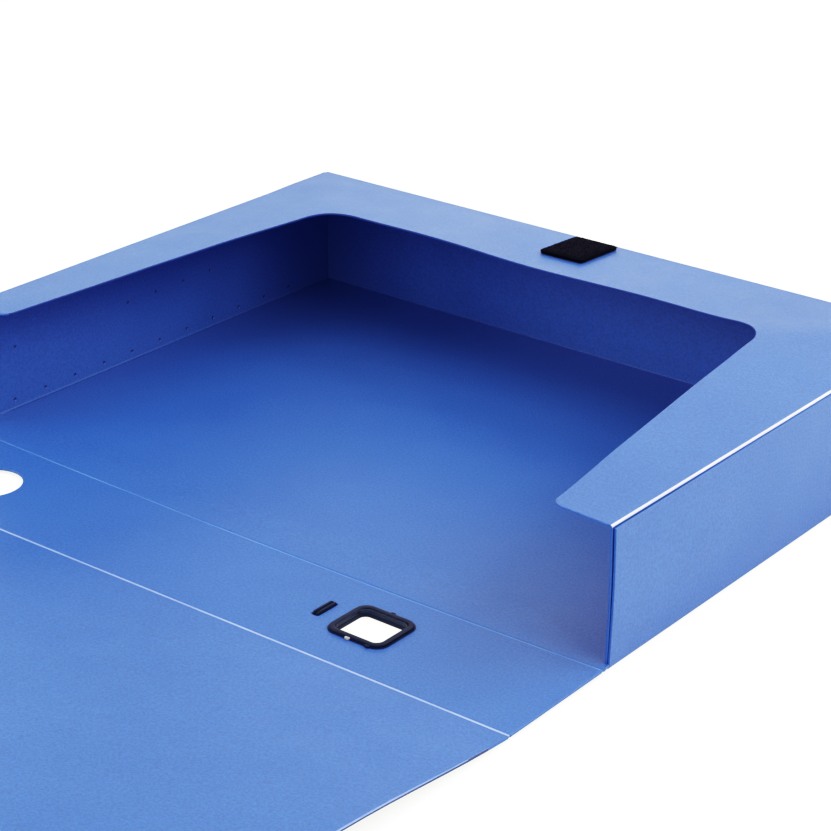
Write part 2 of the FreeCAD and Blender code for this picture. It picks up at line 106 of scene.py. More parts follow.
RIM_FLAT = 1.6                         # flat strip of the rim, inwards from its fold
RIM_NEAR_WIDTH = 24.3                  # rim width along the sides, at the near ends
RIM_FAR_WIDTH = 46.4                   # and where the sides meet the far strip
RIM_CUT_LONG = 178.0                   # length of the opening between the two sides
RIM_FAR_STRIP = 52.0                   # depth over which the far strip springs up

# Height of the sprung rim's inner edge above its flat level: stations, then heights.
# The sides are stationed along y, the far strip along x.
LEFT_RISE = (
    [-117, -107, -90, -73, -55, -38, -19, -1, 19, 38, 63],
    [1.35, 1.57, 2.04, 2.40, 2.89, 3.5, 3.89, 4.41, 4.58, 4.64, 4.5])
RIGHT_RISE = (
    [-117, -103, -88, -72, -55, -37, -20, -1, 18, 38, 63],
    [1.6, 1.94, 2.46, 3.24, 3.53, 3.83, 4.27, 4.60, 4.65, 5.13, 4.7])
FAR_RISE = (
    [-114, -105, -89, -73, -58, -42, -27, -13, 2, 15, 28, 40, 53, 65, 77, 89, 105, 114],
    [3.9, 3.9, 4.25, 4.45, 4.49, 4.17, 3.5, 2.95, 2.77, 3.0, 3.21, 3.52, 3.71, 3.68, 3.5, 3.2,
     3.6, 4.0])


# ---------------------------------------------------------------------------
# shape fields
# ---------------------------------------------------------------------------
def ease(start, end, value):
    """0 at start, 1 at end, level at both; start may be the greater"""
    t = np.clip((np.asarray(value, float) - start) / (end - start), 0, 1)
    return t * t * (3 - 2 * t)


def near_flare(y):
    return 1 - ease(NEAR, NEAR + 115, y)


def far_flare(y):
    return ease(FAR - 48, FAR - 22, y)


def inner_face(y, z):
    """outer side of the inner wall: it bows outwards a little towards its free near end"""
    bow = 0.45
    height = np.clip(z / WALL_HEIGHT, 0, 1)
    return HALF + near_flare(y) * bow * np.sin(np.pi * height)


def outer_face(y, z):
    """outer side of the outer wall: it stands off at the open end and over the corner tab"""
    open_end = near_flare(y) * 0.4 * ease(0.0, 50.0, z)
    over_tab = far_flare(y) * 0.9 * ease(0.5, 6, z)
    return inner_face(y, z) + 0.08 + open_end + over_tab + SHEET


def soften(stations, heights):
    """a smooth curve through a measured table, sampled finely once"""
    fine = np.linspace(stations[0], stations[-1], 240)
    reach, spread = 14, 6.0   # in samples
    kernel = np.exp(-0.5 * (np.arange(-reach, reach + 1) / spread) ** 2)
    kernel /= kernel.sum()
    padded = np.pad(np.interp(fine, stations, heights), reach, mode="edge")
    return fine, np.convolve(padded, kernel, mode="valid")


LEFT_CURVE, RIGHT_CURVE, FAR_CURVE = (soften(*t) for t in (LEFT_RISE, RIGHT_RISE, FAR_RISE))


def side_width(y):
    run = np.clip((y - NEAR) / RIM_CUT_LONG, -0.05, 1.0)
    return RIM_NEAR_WIDTH + (RIM_FAR_WIDTH - RIM_NEAR_WIDTH) * run


def rim_rise(x, y):
    """how far the sprung rim stands above its flat level"""
    # shares of the way in from the side fold and from the far fold
    from_side = np.clip((HALF - np.abs(x) - RIM_FLAT) / (side_width(y) - RIM_FLAT), 0, None)
    from_far = np.clip((FAR - y - RIM_FLAT) / (RIM_FAR_STRIP - RIM_FLAT), 0, None)
    side = np.where(x < 0, np.interp(y, *LEFT_CURVE), np.interp(y, *RIGHT_CURVE))
    far = np.interp(x, *FAR_CURVE)
    side4, far4 = (from_side + 1e-6) ** 4, (from_far + 1e-6) ** 4
    height = (side * far4 + far * side4) / (side4 + far4)
    share = (side4 * far4 / (side4 + far4)) ** 0.25
    corner_lift = 1 + 0.19 * np.exp(-((from_side - from_far) / 0.35) ** 2)
    return height * share * corner_lift


# The first crease bends: its ends are up and in a little. The second is straight but askew.
def crease1_bend(x):
    return ((np.asarray(x, float) - 15) / 150.0) ** 2


def crease1_y(x):
    return -0.8 + 1.75 * crease1_bend(x)


def crease1_z(x):
    return 0.4 * crease1_bend(x)


def crease2_y(x):
    return 0.25 + 0.0068 * np.asarray(x, float)


def spine_warp(x, y):
    """the spine takes the first crease's lift and loses it towards the second"""
    return crease1_z(x) * (1 - np.clip((C1 - y) / (C1 - C2), 0, 1))


# ---------------------------------------------------------------------------
# outlines: closed loops of (u, v) points
# ---------------------------------------------------------------------------
ARC_STEP = 1.2   # longest step along a rounded corner


def rounded_loop(corners, radii):
    """a closed polygon with rounded corners; radii is one number or one for each corner"""
    count, out = len(corners), []
    for i in range(count):
        corner, before, after = (Vector(corners[k % count]) for k in (i, i - 1, i + 1))
        radius = radii[i] if isinstance(radii, (list, tuple)) else radii
        if radius <= 0:
            out.append((corner.x, corner.y))
            continue
        back, onward = (before - corner).normalized(), (after - corner).normalized()
        angle = math.acos(max(-1, min(1, back.dot(onward))))
        reach = radius / math.tan(angle / 2)
        centre = corner + (back + onward).normalized() * (radius / math.sin(angle / 2))
        start, end = corner + back * reach, corner + onward * reach
        first = math.atan2(start.y - centre.y, start.x - centre.x)
        turn = math.atan2(end.y - centre.y, end.x - centre.x) - first
        turn = (turn + math.pi) % (2 * math.pi) - math.pi
        steps = max(5, int(abs(turn) * radius / ARC_STEP) + 1)
        for j in range(steps + 1):
            a = first + turn * j / steps
            out.append((centre.x + radius * math.cos(a), centre.y + radius * math.sin(a)))
    return np.array(out)


def circle_loop(centre_u, centre_v, radius, count):
    a = np.linspace(0, 2 * np.pi, count, endpoint=False)
    return np.stack([centre_u + radius * np.cos(a), centre_v + radius * np.sin(a)], 1)


def rect_loop(u0, u1, v0, v1, radii=0.0):
    return rounded_loop([(u0, v0), (u1, v0), (u1, v1), (u0, v1)], radii)


def signed_area(loop):
    x, y = loop[:, 0], loop[:, 1]
    return 0.5 * float(np.sum(x * np.roll(y, -1) - np.roll(x, -1) * y))


def moved_loop(loop, amount, free):
    """loop with each free edge moved to its left by amount; other edges keep their line"""
    def edge(to, origin, middle_of):
        """left normal of an edge and the distance it moves"""
        along = to - origin
        along = along / np.maximum(np.linalg.norm(along, axis=1)[:, None], 1e-9)
        normal = np.stack([-along[:, 1], along[:, 0]], 1)
        middle = (loop + middle_of) / 2
        return normal, np.array([amount if free(*m) else 0.0 for m in middle])

    after, before = np.roll(loop, -1, 0), np.roll(loop, 1, 0)
    n_out, move_out = edge(after, loop, after)
    n_in, move_in = edge(loop, before, before)
    det = n_in[:, 0] * n_out[:, 1] - n_in[:, 1] * n_out[:, 0]
    parallel = np.abs(det) < 0.05
    det = np.where(parallel, 1, det)
    dx = (move_in * n_out[:, 1] - move_out * n_in[:, 1]) / det
    dy = (n_in[:, 0] * move_out - n_out[:, 0] * move_in) / det
    mean = (n_in + n_out) / 2 * np.maximum(move_in, move_out)[:, None]
    return loop + np.where(parallel[:, None], mean, np.stack([dx, dy], 1))


def densify(loop, step):
    out = []
    for p, q in zip(loop, np.roll(loop, -1, 0)):
        count = max(1, int(math.ceil(np.linalg.norm(q - p) / step - 1e-6)))
        out += [p + (q - p) * j / count for j in range(count)]
    return np.array(out)


def inside(points, loop):
    x, y = points[:, 0], points[:, 1]
    hit = np.zeros(len(points), bool)
    for (x0, y0), (x1, y1) in zip(loop, np.roll(loop, -1, 0)):
        cross = (y0 > y) != (y1 > y)
        if y1 != y0:
            hit ^= cross & (x < (x1 - x0) * (y - y0) / (y1 - y0) + x0)
    return hit


def on_sheet(points, loops):
    """inside the first loop and outside the holes that follow it"""
    ok = inside(points, loops[0])
    for hole in loops[1:]:
        ok &= ~inside(points, hole)
    return ok


def away(points, loops, least):
    """which points lie more than least from every loop"""
    keep = np.ones(len(points), bool)
    batch = 2000
    for loop in loops:
        along = np.roll(loop, -1, 0) - loop
        length2 = np.maximum((along ** 2).sum(1), 1e-12)
        for i in range(0, len(points), batch):
            p = points[i:i + batch]
            t = np.clip(((p[:, None] - loop) * along).sum(2) / length2, 0, 1)
            gap = np.linalg.norm(p[:, None] - loop - t[..., None] * along, axis=2).min(1)
            keep[i:i + batch] &= gap > least
    return keep


def wavy_rect(centre_u, centre_v, width, height, radius, amplitude, seed):
    """a rounded rectangle with a ragged, hand-cut edge"""
    rng = np.random.default_rng(seed)
    loop = densify(rect_loop(centre_u - width / 2, centre_u + width / 2,
                             centre_v - height / 2, centre_v + height / 2, radius), 0.5)
    wave = rng.normal(0, 1, len(loop))
    wrapped = np.concatenate([wave[-3:], wave, wave[:3]])
    wave = np.convolve(wrapped, np.ones(4) / 4, mode="valid")[:len(loop)]
    outward = loop - np.array([centre_u, centre_v])
    outward /= np.linalg.norm(outward, axis=1)[:, None]
    return loop + outward * (wave * amplitude)[:, None]


# ---------------------------------------------------------------------------
# mesh builders
# ---------------------------------------------------------------------------
def new_object(name, verts, faces, mats, index=None, sharp=30):
    """a smooth-shaded mesh object from millimetre vertices, sharp above the given angle"""
    mesh = bpy.data.meshes.new(name)
    mesh.from_pydata([tuple(v) for v in np.asarray(verts, float) * MM], [],
                     [tuple(int(i) for i in f) for f in faces])
    for m in mats:
        mesh.materials.append(m)
    if index is not None:
        mesh.polygons.foreach_set("material_index", np.asarray(index, np.int32))
    mesh.polygons.foreach_set("use_smooth", np.ones(len(mesh.polygons), bool))
    mesh.set_sharp_from_angle(angle=math.radians(sharp))
    mesh.validate()
    mesh.update()
    ob = bpy.data.objects.new(name, mesh)
    bpy.context.scene.collection.objects.link(ob)
    return ob


def signed_volume(verts, faces):
    """positive times six when the faces look outwards"""
    verts = np.asarray(verts, float)
    volume = 0.0
    for f in faces:
        for k in range(1, len(f) - 1):
            volume += np.dot(verts[f[0]], np.cross(verts[f[k]], verts[f[k + 1]]))
    return volume


def flat_mesh(loops, step, lines_u, lines_v):
    """points and triangles filling the loops, with a grid and with lines forced through"""
    lo, hi = loops[0].min(0), loops[0].max(0)
    points = [tuple(p) for loop in loops for p in loop]
    edges, first = [], 0
    for loop in loops:
        count = len(loop)
        edges += [(first + i, first + (i + 1) % count) for i in range(count)]
        first += count
    grid = np.array([(u, v) for u in np.arange(lo[0] + step / 2, hi[0], step)
                     for v in np.arange(lo[1] + step / 2, hi[1], step)]).reshape(-1, 2)
    grid = grid[on_sheet(grid, loops)]
    grid = grid[away(grid, loops, step * 0.3)]
    points += [tuple(p) for p in grid]
    for fixed, stations in ((0, lines_u), (1, lines_v)):
        along = 1 - fixed
        run = np.linspace(lo[along] - 1, hi[along] + 1, int((hi[along] - lo[along]) / step) + 2)
        for station in stations:
            first = len(points)
            points += [(station, r) if fixed == 0 else (r, station) for r in run]
            edges += [(first + i, first + i + 1) for i in range(len(run) - 1)]
    found, _, cells, _, _, _ = delaunay_2d_cdt([Vector(p) for p in points], edges, [], 0, 1e-5)
    flat = np.array([(p.x, p.y) for p in found])
    tri = np.array([f for f in cells if len(f) == 3])
    ok = on_sheet(flat[tri].mean(1), loops)
    a, b, c = (flat[tri[:, k]] for k in range(3))
    signed = ((b[:, 0] - a[:, 0]) * (c[:, 1] - a[:, 1])
              - (b[:, 1] - a[:, 1]) * (c[:, 0] - a[:, 0]))
    tri = np.where(signed[:, None] > 0, tri, tri[:, ::-1])[ok & (np.abs(signed) > 1e-7)]
    used = np.unique(tri)
    renumber = -np.ones(len(flat), int)
    renumber[used] = np.arange(len(used))
    return flat[used], renumber[tri]


def border_rings(tri):
    """the closed rings of vertices round the edges of a triangle mesh"""
    half = {(int(t[i]), int(t[(i + 1) % 3])) for t in tri for i in range(3)}
    left = {p: q for p, q in half if (q, p) not in half}
    rings = []
    while left:
        start = next(iter(left))
        ring, at = [start], left.pop(start)
        while at != start:
            ring.append(at)
            at = left.pop(at)
        rings.append(ring)
    return rings


def all_free(u, v):
    return True


def plate(name, outer, holes, shape, thick, mats, step=8.0, round_edge=0.16, free=all_free,
          lines_u=(), lines_v=()):
    """a cut sheet: outline and holes in flat (u, v), thickness w, shaped by shape(u, v, w) -> xyz.
    Its free edges are broken by a small round, and the cut faces take the second material."""
    loops = [outer if signed_area(outer) > 0 else outer[::-1]]
    loops += [h if signed_area(h) < 0 else h[::-1] for h in holes]
    caps = [densify(moved_loop(loop, round_edge, free), step) for loop in loops]
    flat, tri = flat_mesh(caps, step, lines_u, lines_v)
    n = len(flat)
    verts = [np.column_stack([flat, np.full(n, thick / 2)]),
             np.column_stack([flat, np.full(n, -thick / 2)])]
    faces = [tuple(t) for t in tri] + [tuple(n + i for i in t[::-1]) for t in tri]
    index = [0] * len(faces)
    first = 2 * n
    for ring in border_rings(tri):
        loop = flat[ring]
        out = moved_loop(loop, -round_edge, free)
        moved = np.linalg.norm(out - loop, axis=1) > 1e-5
        m = len(ring)
        top = [first + i if moved[i] else ring[i] for i in range(m)]
        low = [first + m + i if moved[i] else n + ring[i] for i in range(m)]
        verts += [np.column_stack([out, np.full(m, thick / 2 - round_edge)]),
                  np.column_stack([out, np.full(m, -thick / 2 + round_edge)])]
        first += 2 * m
        for i in range(m):
            j = (i + 1) % m
            for quad in ((ring[j], ring[i], top[i], top[j]),
                         (top[j], top[i], low[i], low[j]),
                         (low[j], low[i], n + ring[i], n + ring[j])):
                face = tuple(dict.fromkeys(quad))
                if len(face) >= 3:
                    faces.append(face)
                    index.append(1)
    verts = np.vstack(verts)
    keep = np.zeros(len(verts), bool)
    for f in faces:
        keep[list(f)] = True
    renumber = np.cumsum(keep) - 1
    faces = [tuple(renumber[i] for i in f) for f in faces]
    verts = verts[keep]
    xyz = np.column_stack(shape(verts[:, 0], verts[:, 1], verts[:, 2]))
    return new_object(name, xyz, faces, mats, index)


def round_rect_path(centre_x, centre_y, width, height, radius, corner_steps=10):
    """points and outward normals (x, y, nx, ny) of a rounded rectangle"""
    out = []
    for sx, sy, start in ((1, -1, -90), (1, 1, 0), (-1, 1, 90), (-1, -1, 180)):
        x, y = centre_x + sx * (width / 2 - radius), centre_y + sy * (height / 2 - radius)
        for k in range(corner_steps + 1):
            a = math.radians(start + 90 * k / corner_steps)
            c, s = math.cos(a), math.sin(a)
            out.append((x + radius * c, y + radius * s, c, s))
    return np.array(out)


def soft_profile(out0, out1, z0, z1, radius, corner_steps=4):
    """a rectangular (outward, height) section with its four corners rounded"""
    corners = ((out1 - radius, z0 + radius, -90), (out1 - radius, z1 - radius, 0),
               (out0 + radius, z1 - radius, 90), (out0 + radius, z0 + radius, 180))
    section = []
    for x, z, start in corners:
        for k in range(corner_steps + 1):
            a = math.radians(start + 90 * k / corner_steps)
            section.append((x + radius * math.cos(a), z + radius * math.sin(a)))
    return section


def sweep(name, path, profile, mats, closed=True):
    """a closed profile of (outward, height) points carried along a path of (x, y, nx, ny)"""
    m, k = len(path), len(profile)
    profile = np.array(profile, float)
    xy = path[:, None, :2] + path[:, None, 2:] * profile[None, :, :1]
    z = np.broadcast_to(profile[None, :, 1:2], (m, k, 1))
    verts = np.concatenate([xy, z], 2).reshape(-1, 3)
    faces = []
    for i in range(m if closed else m - 1):
        j = (i + 1) % m
        for a in range(k):
            b = (a + 1) % k
            faces.append((i * k + a, j * k + a, j * k + b, i * k + b))
    if not closed:
        faces.append(tuple(range(k)))
        faces.append(tuple((m - 1) * k + a for a in range(k - 1, -1, -1)))
    if signed_volume(verts, faces) < 0:
        faces = [f[::-1] for f in faces]
    return new_object(name, verts, faces, mats, sharp=40)


def join(name, parts):
    """several meshes of one moulding made into one object"""
    verts, faces, index, mats, first = [], [], [], [], 0
    for part in parts:
        local = []
        for m in part.data.materials:
            if m not in mats:
                mats.append(m)
            local.append(mats.index(m))
        verts.append(np.array([v.co for v in part.data.vertices]))
        for p in part.data.polygons:
            faces.append(tuple(first + i for i in p.vertices))
            index.append(local[p.material_index])
        first += len(verts[-1])
    ob = new_object(name, np.vstack(verts) / MM, faces, mats, index, sharp=40)
    for part in parts:
        bpy.data.objects.remove(part)
    return ob


def fibres(name, lines, radius, sides, mat):
    """thin tubes, each along an array of points and tapered at its last one"""
    verts, faces, first = [], [], 0
    for points in lines:
        points = np.asarray(points, float)
        along = np.gradient(points, axis=0)
        along /= np.linalg.norm(along, axis=1)[:, None] + 1e-9
        across = np.cross(along, np.array([0.3, 0.9, 0.2]))
        across /= np.linalg.norm(across, axis=1)[:, None] + 1e-9
        third = np.cross(along, across)
        n = len(points)
        for i in range(n):
            r = radius * (1 if i < n - 1 else 0.45)
            for k in range(sides):
                a = 2 * math.pi * k / sides
                verts.append(points[i] + (across[i] * math.cos(a) + third[i] * math.sin(a)) * r)
        for i in range(n - 1):
            here, there = first + i * sides, first + (i + 1) * sides
            for k in range(sides):
                j = (k + 1) % sides
                faces.append((here + k, there + k, there + j, here + j))
        faces.append(tuple(first + k for k in range(sides)))
        faces.append(tuple(first + (n - 1) * sides + k for k in range(sides - 1, -1, -1)))
        first += n * sides
    return new_object(name, verts, faces, [mat], sharp=60)


# ---------------------------------------------------------------------------
# materials
# ---------------------------------------------------------------------------
def srgb(red, green, blue):
    """a linear colour from display values of 0 to 255"""
    def linear(c):
        return c / 12.92 if c <= 0.04045 else ((c + 0.055) / 1.055) ** 2.4

    return tuple(linear(c / 255) for c in (red, green, blue)) + (1,)


def scaled(colour, factor, lift=0.0):
    return tuple(min(1, c * factor + lift) for c in colour[:3]) + (1,)


def new_material(name):
    material = bpy.data.materials.new(name)
    material.use_nodes = True
    tree = material.node_tree
    return material, tree.nodes, tree.links, tree.nodes["Principled BSDF"]


def set_inputs(node, values):
    for key, value in values.items():
        node.inputs[key].default_value = value


class Shader:
    """a Principled material with textures in object coordinates"""

    def __init__(self, name):
        self.material, self.nodes, self.links, self.surface = new_material(name)
        self.coord = self.nodes.new("ShaderNodeTexCoord").outputs["Object"]

    def noise(self, scale, detail=3.0, roughness=0.55):
        node = self.nodes.new("ShaderNodeTexNoise")
        set_inputs(node, {"Scale": scale, "Detail": detail, "Roughness": roughness})
        self.links.new(self.coord, node.inputs["Vector"])
        return node.outputs["Fac"]

    def ramp(self, factor, *stops):
        """two (position, colour) stops"""
        node = self.nodes.new("ShaderNodeValToRGB")
        for element, (position, colour) in zip(node.color_ramp.elements, stops):
            element.position = position
            element.color = colour
        self.links.new(factor, node.inputs["Fac"])
        return node.outputs["Color"]

    def colour(self, socket):
        self.links.new(socket, self.surface.inputs["Base Color"])

    def bump(self, height, strength, distance):
        """distance is in metres"""
        node = self.nodes.new("ShaderNodeBump")
        set_inputs(node, {"Strength": strength, "Distance": distance})
        self.links.new(height, node.inputs["Height"])
        self.links.new(node.outputs["Normal"], self.surface.inputs["Normal"])

    def patchy_roughness(self, scale, low, high):
        node = self.nodes.new("ShaderNodeMapRange")
        self.links.new(self.noise(scale), node.inputs["Value"])
        set_inputs(node, {"To Min": low, "To Max": high})
        self.links.new(node.outputs["Result"], self.surface.inputs["Roughness"])


def polypropylene(name, base, lighter, rough=0.46, bump=0.35, grain=1.0, specular=0.5):
    """matt extruded sheet: a fine sand grain, faint clouding in the colour and a soft sheen"""
    sh = Shader(name)
    body = sh.ramp(sh.noise(14.0, detail=4.0, roughness=0.6), (0.3, base), (0.72, lighter))
    dark = 1 - 0.36 * grain
    speck = sh.ramp(sh.noise(1050.0, detail=2.0, roughness=0.75),
                    (0.28, (dark, dark, dark, 1)), (0.72, (1, 1, 1, 1)))
    mix = sh.nodes.new("ShaderNodeMix")
    mix.data_type = "RGBA"
    mix.blend_type = "MULTIPLY"
    mix.inputs[0].default_value = 1.0
    # inputs 6 and 7 and output 2 are the colour sockets
    sh.links.new(body, mix.inputs[6])
    sh.links.new(speck, mix.inputs[7])
    sh.colour(mix.outputs[2])
    fine = sh.noise(2300.0, detail=3.0, roughness=0.65)
    pebble = sh.nodes.new("ShaderNodeTexVoronoi")
    pebble.inputs["Scale"].default_value = 1300.0
    sh.links.new(sh.coord, pebble.inputs["Vector"])
    # height = half the pebble + the fine noise
    height = sh.nodes.new("ShaderNodeMath")
    height.operation = "MULTIPLY_ADD"
    sh.links.new(pebble.outputs["Distance"], height.inputs[0])
    height.inputs[1].default_value = 0.5
    sh.links.new(fine, height.inputs[2])
    sh.bump(height.outputs[0], strength=bump, distance=0.00006)
    sh.patchy_roughness(60.0, low=rough - 0.05, high=rough + 0.06)
    set_inputs(sh.surface, {"IOR": 1.5, "Specular IOR Level": specular})
    return sh.material


def moulding(name, base, rough=0.34, bump=0.2, shine=0.28):
    """injection moulded plastic: a fine grain, a soft gloss and paler worn spots"""
    sh = Shader(name)
    worn = scaled(base, 2.1, lift=0.004)
    sh.colour(sh.ramp(sh.noise(420.0, detail=5.0, roughness=0.7), (0.35, base), (0.8, worn)))
    sh.bump(sh.noise(3200.0, detail=2.0), strength=bump, distance=0.00004)
    sh.patchy_roughness(150.0, low=rough - 0.08, high=rough + 0.12)
    set_inputs(sh.surface, {"Specular IOR Level": shine, "Specular Tint": (0.5, 0.85, 1.0, 1)})
    return sh.material


def textile(name, base):
    sh = Shader(name)
    sh.colour(sh.ramp(sh.noise(900.0, detail=4.0, roughness=0.7),
                      (0.3, scaled(base, 0.45)), (0.75, base)))
    set_inputs(sh.surface, {
        "Roughness": 0.95, "Sheen Weight": 0.02, "Sheen Roughness": 0.4,
        "Specular IOR Level": 0.12, "Specular Tint": (0.45, 0.8, 0.95, 1)})
    sh.bump(sh.noise(2600.0, detail=2.0), strength=0.5, distance=0.0001)
    return sh.material


def film(name):
    sh = Shader(name)
    set_inputs(sh.surface, {"Base Color": (0.93, 0.96, 1, 1), "Alpha": 0.2, "Roughness": 0.12})
    sh.bump(sh.noise(45.0, detail=2.0), strength=0.25, distance=0.0004)
    return sh.material


def paper(name, base):
    sh = Shader(name)
    sh.colour(sh.ramp(sh.noise(700.0, detail=5.0, roughness=0.7),
                      (0.25, scaled(base, 0.9)), (0.75, base)))
    sh.surface.inputs["Roughness"].default_value = 0.85
    sh.bump(sh.noise(1900.0, detail=4.0), strength=0.3, distance=0.00005)
    return sh.material


BLACK = srgb(9, 20, 34)
sheet_mat = polypropylene("pp_sheet", srgb(51.2, 102.4, 180), srgb(56.4, 107.6, 185),
                          specular=0.8)
edge_mat = polypropylene("pp_cut_edge", srgb(48, 95, 168), srgb(53, 101, 175),
                         rough=0.42, bump=0.2, grain=0.5)
# pale crease lines: partly stress whitening, partly a painted highlight on the groove's flank
fine_crease_highlight_mat = polypropylene("pp_fine_crease_whitening_and_painted_highlight", srgb(66, 116, 190), srgb(104, 148, 212),
                                rough=0.38, bump=0.1, grain=0.4)
crease_line_highlight_mat = polypropylene("pp_crease_line_whitening_and_painted_highlight", srgb(116, 142, 202), srgb(146, 167, 216),
                                rough=0.34, bump=0.1, grain=0.3)
# pale fold ridge: partly stress whitening, partly a painted highlight
fold_ridge_highlight_mat = polypropylene("pp_fold_ridge_whitening_and_painted_highlight", srgb(152, 169, 206), srgb(190, 200, 227),
                             rough=0.24, bump=0.06, grain=0.3, specular=1.0)
# pale band along the cover's sides: a painted highlight on the upper edge
edge_band_highlight_mat = polypropylene("pp_cover_edge_painted_highlight", srgb(98, 130, 198), srgb(128, 156, 211),
                           rough=0.34, bump=0.1, grain=0.3)
# inner cut edges of the rim: darker as painted shade
rim_edge_shade_mat = polypropylene("pp_rim_inner_edge_painted_shade", srgb(26, 66, 134), srgb(30, 72, 142),
                             rough=0.5, bump=0.2, grain=0.5)
# dark weld spots in their own colour; the same material is painted shade on the cover's cut side
# faces
weld_and_edge_shade_mat = polypropylene("pp_weld_and_painted_edge_shade", srgb(26, 50, 112), srgb(30, 56, 120),
                         rough=0.3, bump=0.15, grain=0.4)
black_mat = moulding("black_moulding", BLACK)
gloss_mat = moulding("black_moulding_polished", BLACK, rough=0.2, bump=0.05, shine=0.5)
# a pale grey spot for one ear of the ring: a painted glint
ear_glint_mat = moulding("moulding_painted_glint", srgb(128, 131, 138), rough=0.3, bump=0.3)
pile_mat = textile("loop_pile", srgb(3, 9, 11))
hook_mat = moulding("hook_nylon", srgb(20, 22, 27), rough=0.45)
backing_mat = textile("fastener_backing", srgb(3, 7, 9))
glue_mat = paper("adhesive_layer", srgb(58, 60, 64))
film_mat = film("pocket_film")
card_mat = paper("label_paper", srgb(244, 243, 238))

SHEET_MATS = [sheet_mat, edge_mat]


# ---------------------------------------------------------------------------
# tray: base
# ---------------------------------------------------------------------------
FLOOR_X = HALF - 0.18            # where the base turns up into the outer walls
BASE_EDGE = C1 + WEB
RAMP_RISE = AXIS_Z - PANEL / 2   # lifts the base's middle plane to the crease


def base_shape(u, v, w):
    """flat, then a gentle ramp up to the first crease"""
    y = v + crease1_y(u) * ease(NEAR + 6, BASE_EDGE, v)
    ramp = ease(NEAR + 24.0, NEAR - 4.0, v) * (RAMP_RISE + crease1_z(u))
    return u, y, PANEL / 2 + w + ramp


def base_sheet():
    outline = np.array([
        (-WIDE, BASE_EDGE), (WIDE, BASE_EDGE), (WIDE - 0.5, NEAR - 0.5), (FLOOR_X, NEAR + 0.3),
        (FLOOR_X, FAR - FOLD), (-FLOOR_X, FAR - FOLD), (-FLOOR_X, NEAR + 0.3),
        (-WIDE + 0.5, NEAR - 0.5)])
    ob = plate("base_sheet", outline, [], base_shape, PANEL, SHEET_MATS, step=9,
               free=lambda u, v: BASE_EDGE + 0.1 < v < NEAR - 0.3,
               lines_v=[NEAR + d for d in (22, 18, 14, 10, 6, 3, 0, -2.2)])
    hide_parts("base_panel")
    return ob


# ---------------------------------------------------------------------------
# tray: walls
# ---------------------------------------------------------------------------
SIDES = ((1, "right"), (-1, "left"))   # sign of x, and its name


def fold_profile(dist):
    """(out, up, nx, nz) along a sheet that turns up at its foot, dist from the flat"""
    a = np.clip(dist / QUARTER, 0, 1) * math.pi / 2
    rise = np.clip(dist - QUARTER, 0, None)
    return FOLD * np.sin(a), FOLD * (1 - np.cos(a)) + rise, np.sin(a), -np.cos(a)


def finish_side(ob, side, node):
    """the walls are shaped for -x, so the mirrored ones at +x are turned inside out"""
    if side > 0:
        ob.data.flip_normals()
    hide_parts(node)
    return ob


def outer_wall(side, word):
    def shape(u, v, w):
        # u runs along the depth of the box, v up the sheet; w > 0 is outside
        out, up, nx, nz = fold_profile(v)
        foot = outer_face(u, 0.0)
        lean = np.where(v > QUARTER, outer_face(u, up) - foot, 0.0)
        x = FLOOR_X + out + lean - nx * (SHEET / 2 - w)
        x = x + (foot - (FLOOR_X + FOLD)) * ease(0, QUARTER, v)
        return side * x, u, up - nz * (SHEET / 2 - w)

    outline = rect_loop(NEAR + 0.35, FAR - 0.1, 0, QUARTER + WALL_HEIGHT - FOLD)
    ob = plate(f"{word}_outer_wall_sheet", outline, [], shape, SHEET, SHEET_MATS, step=7.5,
               free=lambda u, v: v > 0.05, lines_v=BEND_LINES)
    return finish_side(ob, side, f"{word}_outer_wall")


def fore_edge_wall():
    """turns up from the base and runs into the rim's fold"""
    def shape(u, v, w):
        out, up, nx, nz = fold_profile(v)
        bow = (-0.35 * np.sin(np.pi * np.clip((u + HALF) / (2 * HALF), 0, 1))
               * np.sin(np.pi * np.clip(up / WALL_TOP, 0, 1)))
        return u, FAR - FOLD + out + bow - nx * (SHEET / 2 - w), up - nz * (SHEET / 2 - w)

    outline = rect_loop(-HALF + 0.3, HALF - 0.3, 0, QUARTER + WALL_TOP - FOLD)
    ob = plate("fore_edge_wall_sheet", outline, [], shape, SHEET, SHEET_MATS, step=8,
               free=lambda u, v: False, lines_v=BEND_LINES)
    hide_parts("fore_edge_wall")
    return ob


# weld spots: real pits through the inner wall, each closed by a sunk plug
WELD_PITCH = 17.55
WELD_SPOTS = [(NEAR + 24.1 + WELD_PITCH * k, 5.1) for k in range(11)]   # (y, z) low row
WELD_SPOTS += [(NEAR + 26.2, 28.6)]                                    # high row
WELD_SPOTS += [(NEAR + 93.1 + WELD_PITCH * k, 28.6) for k in range(4)]
WELD_HOLE = 0.64
WELD_PLUG = 0.62
# (radius, depth from the inner side of the wall)
PLUG_PROFILE = [(0.0, 0.36), (0.28, 0.34), (0.48, 0.24), (WELD_PLUG, 0.1), (WELD_PLUG, 0.86),
                (0.0, 0.86)]
WALL_FOOT = 1.08   # lower edge of the inner wall


def inner_wall(side, word):
    def shape(u, v, w):
        # the foot of the wall is creased in a little
        x = inner_face(u, v) - SHEET / 2 + w - 0.28 * ease(2.1, WALL_FOOT, v)
        return side * x, u, v

    outline = rect_loop(NEAR, FAR - SHEET - 0.25, WALL_FOOT, WALL_TOP)
    holes = [circle_loop(y, z, WELD_HOLE, 16) for y, z in WELD_SPOTS]
    ob = plate(f"{word}_inner_wall_sheet", outline, holes, shape, SHEET, SHEET_MATS, step=7.5,
               free=lambda u, v: v < WALL_TOP - 0.05, round_edge=0.14,
               lines_v=[1.4, 1.7, 2.0, 2.4, 3.0])
    return finish_side(ob, side, f"{word}_inner_wall")


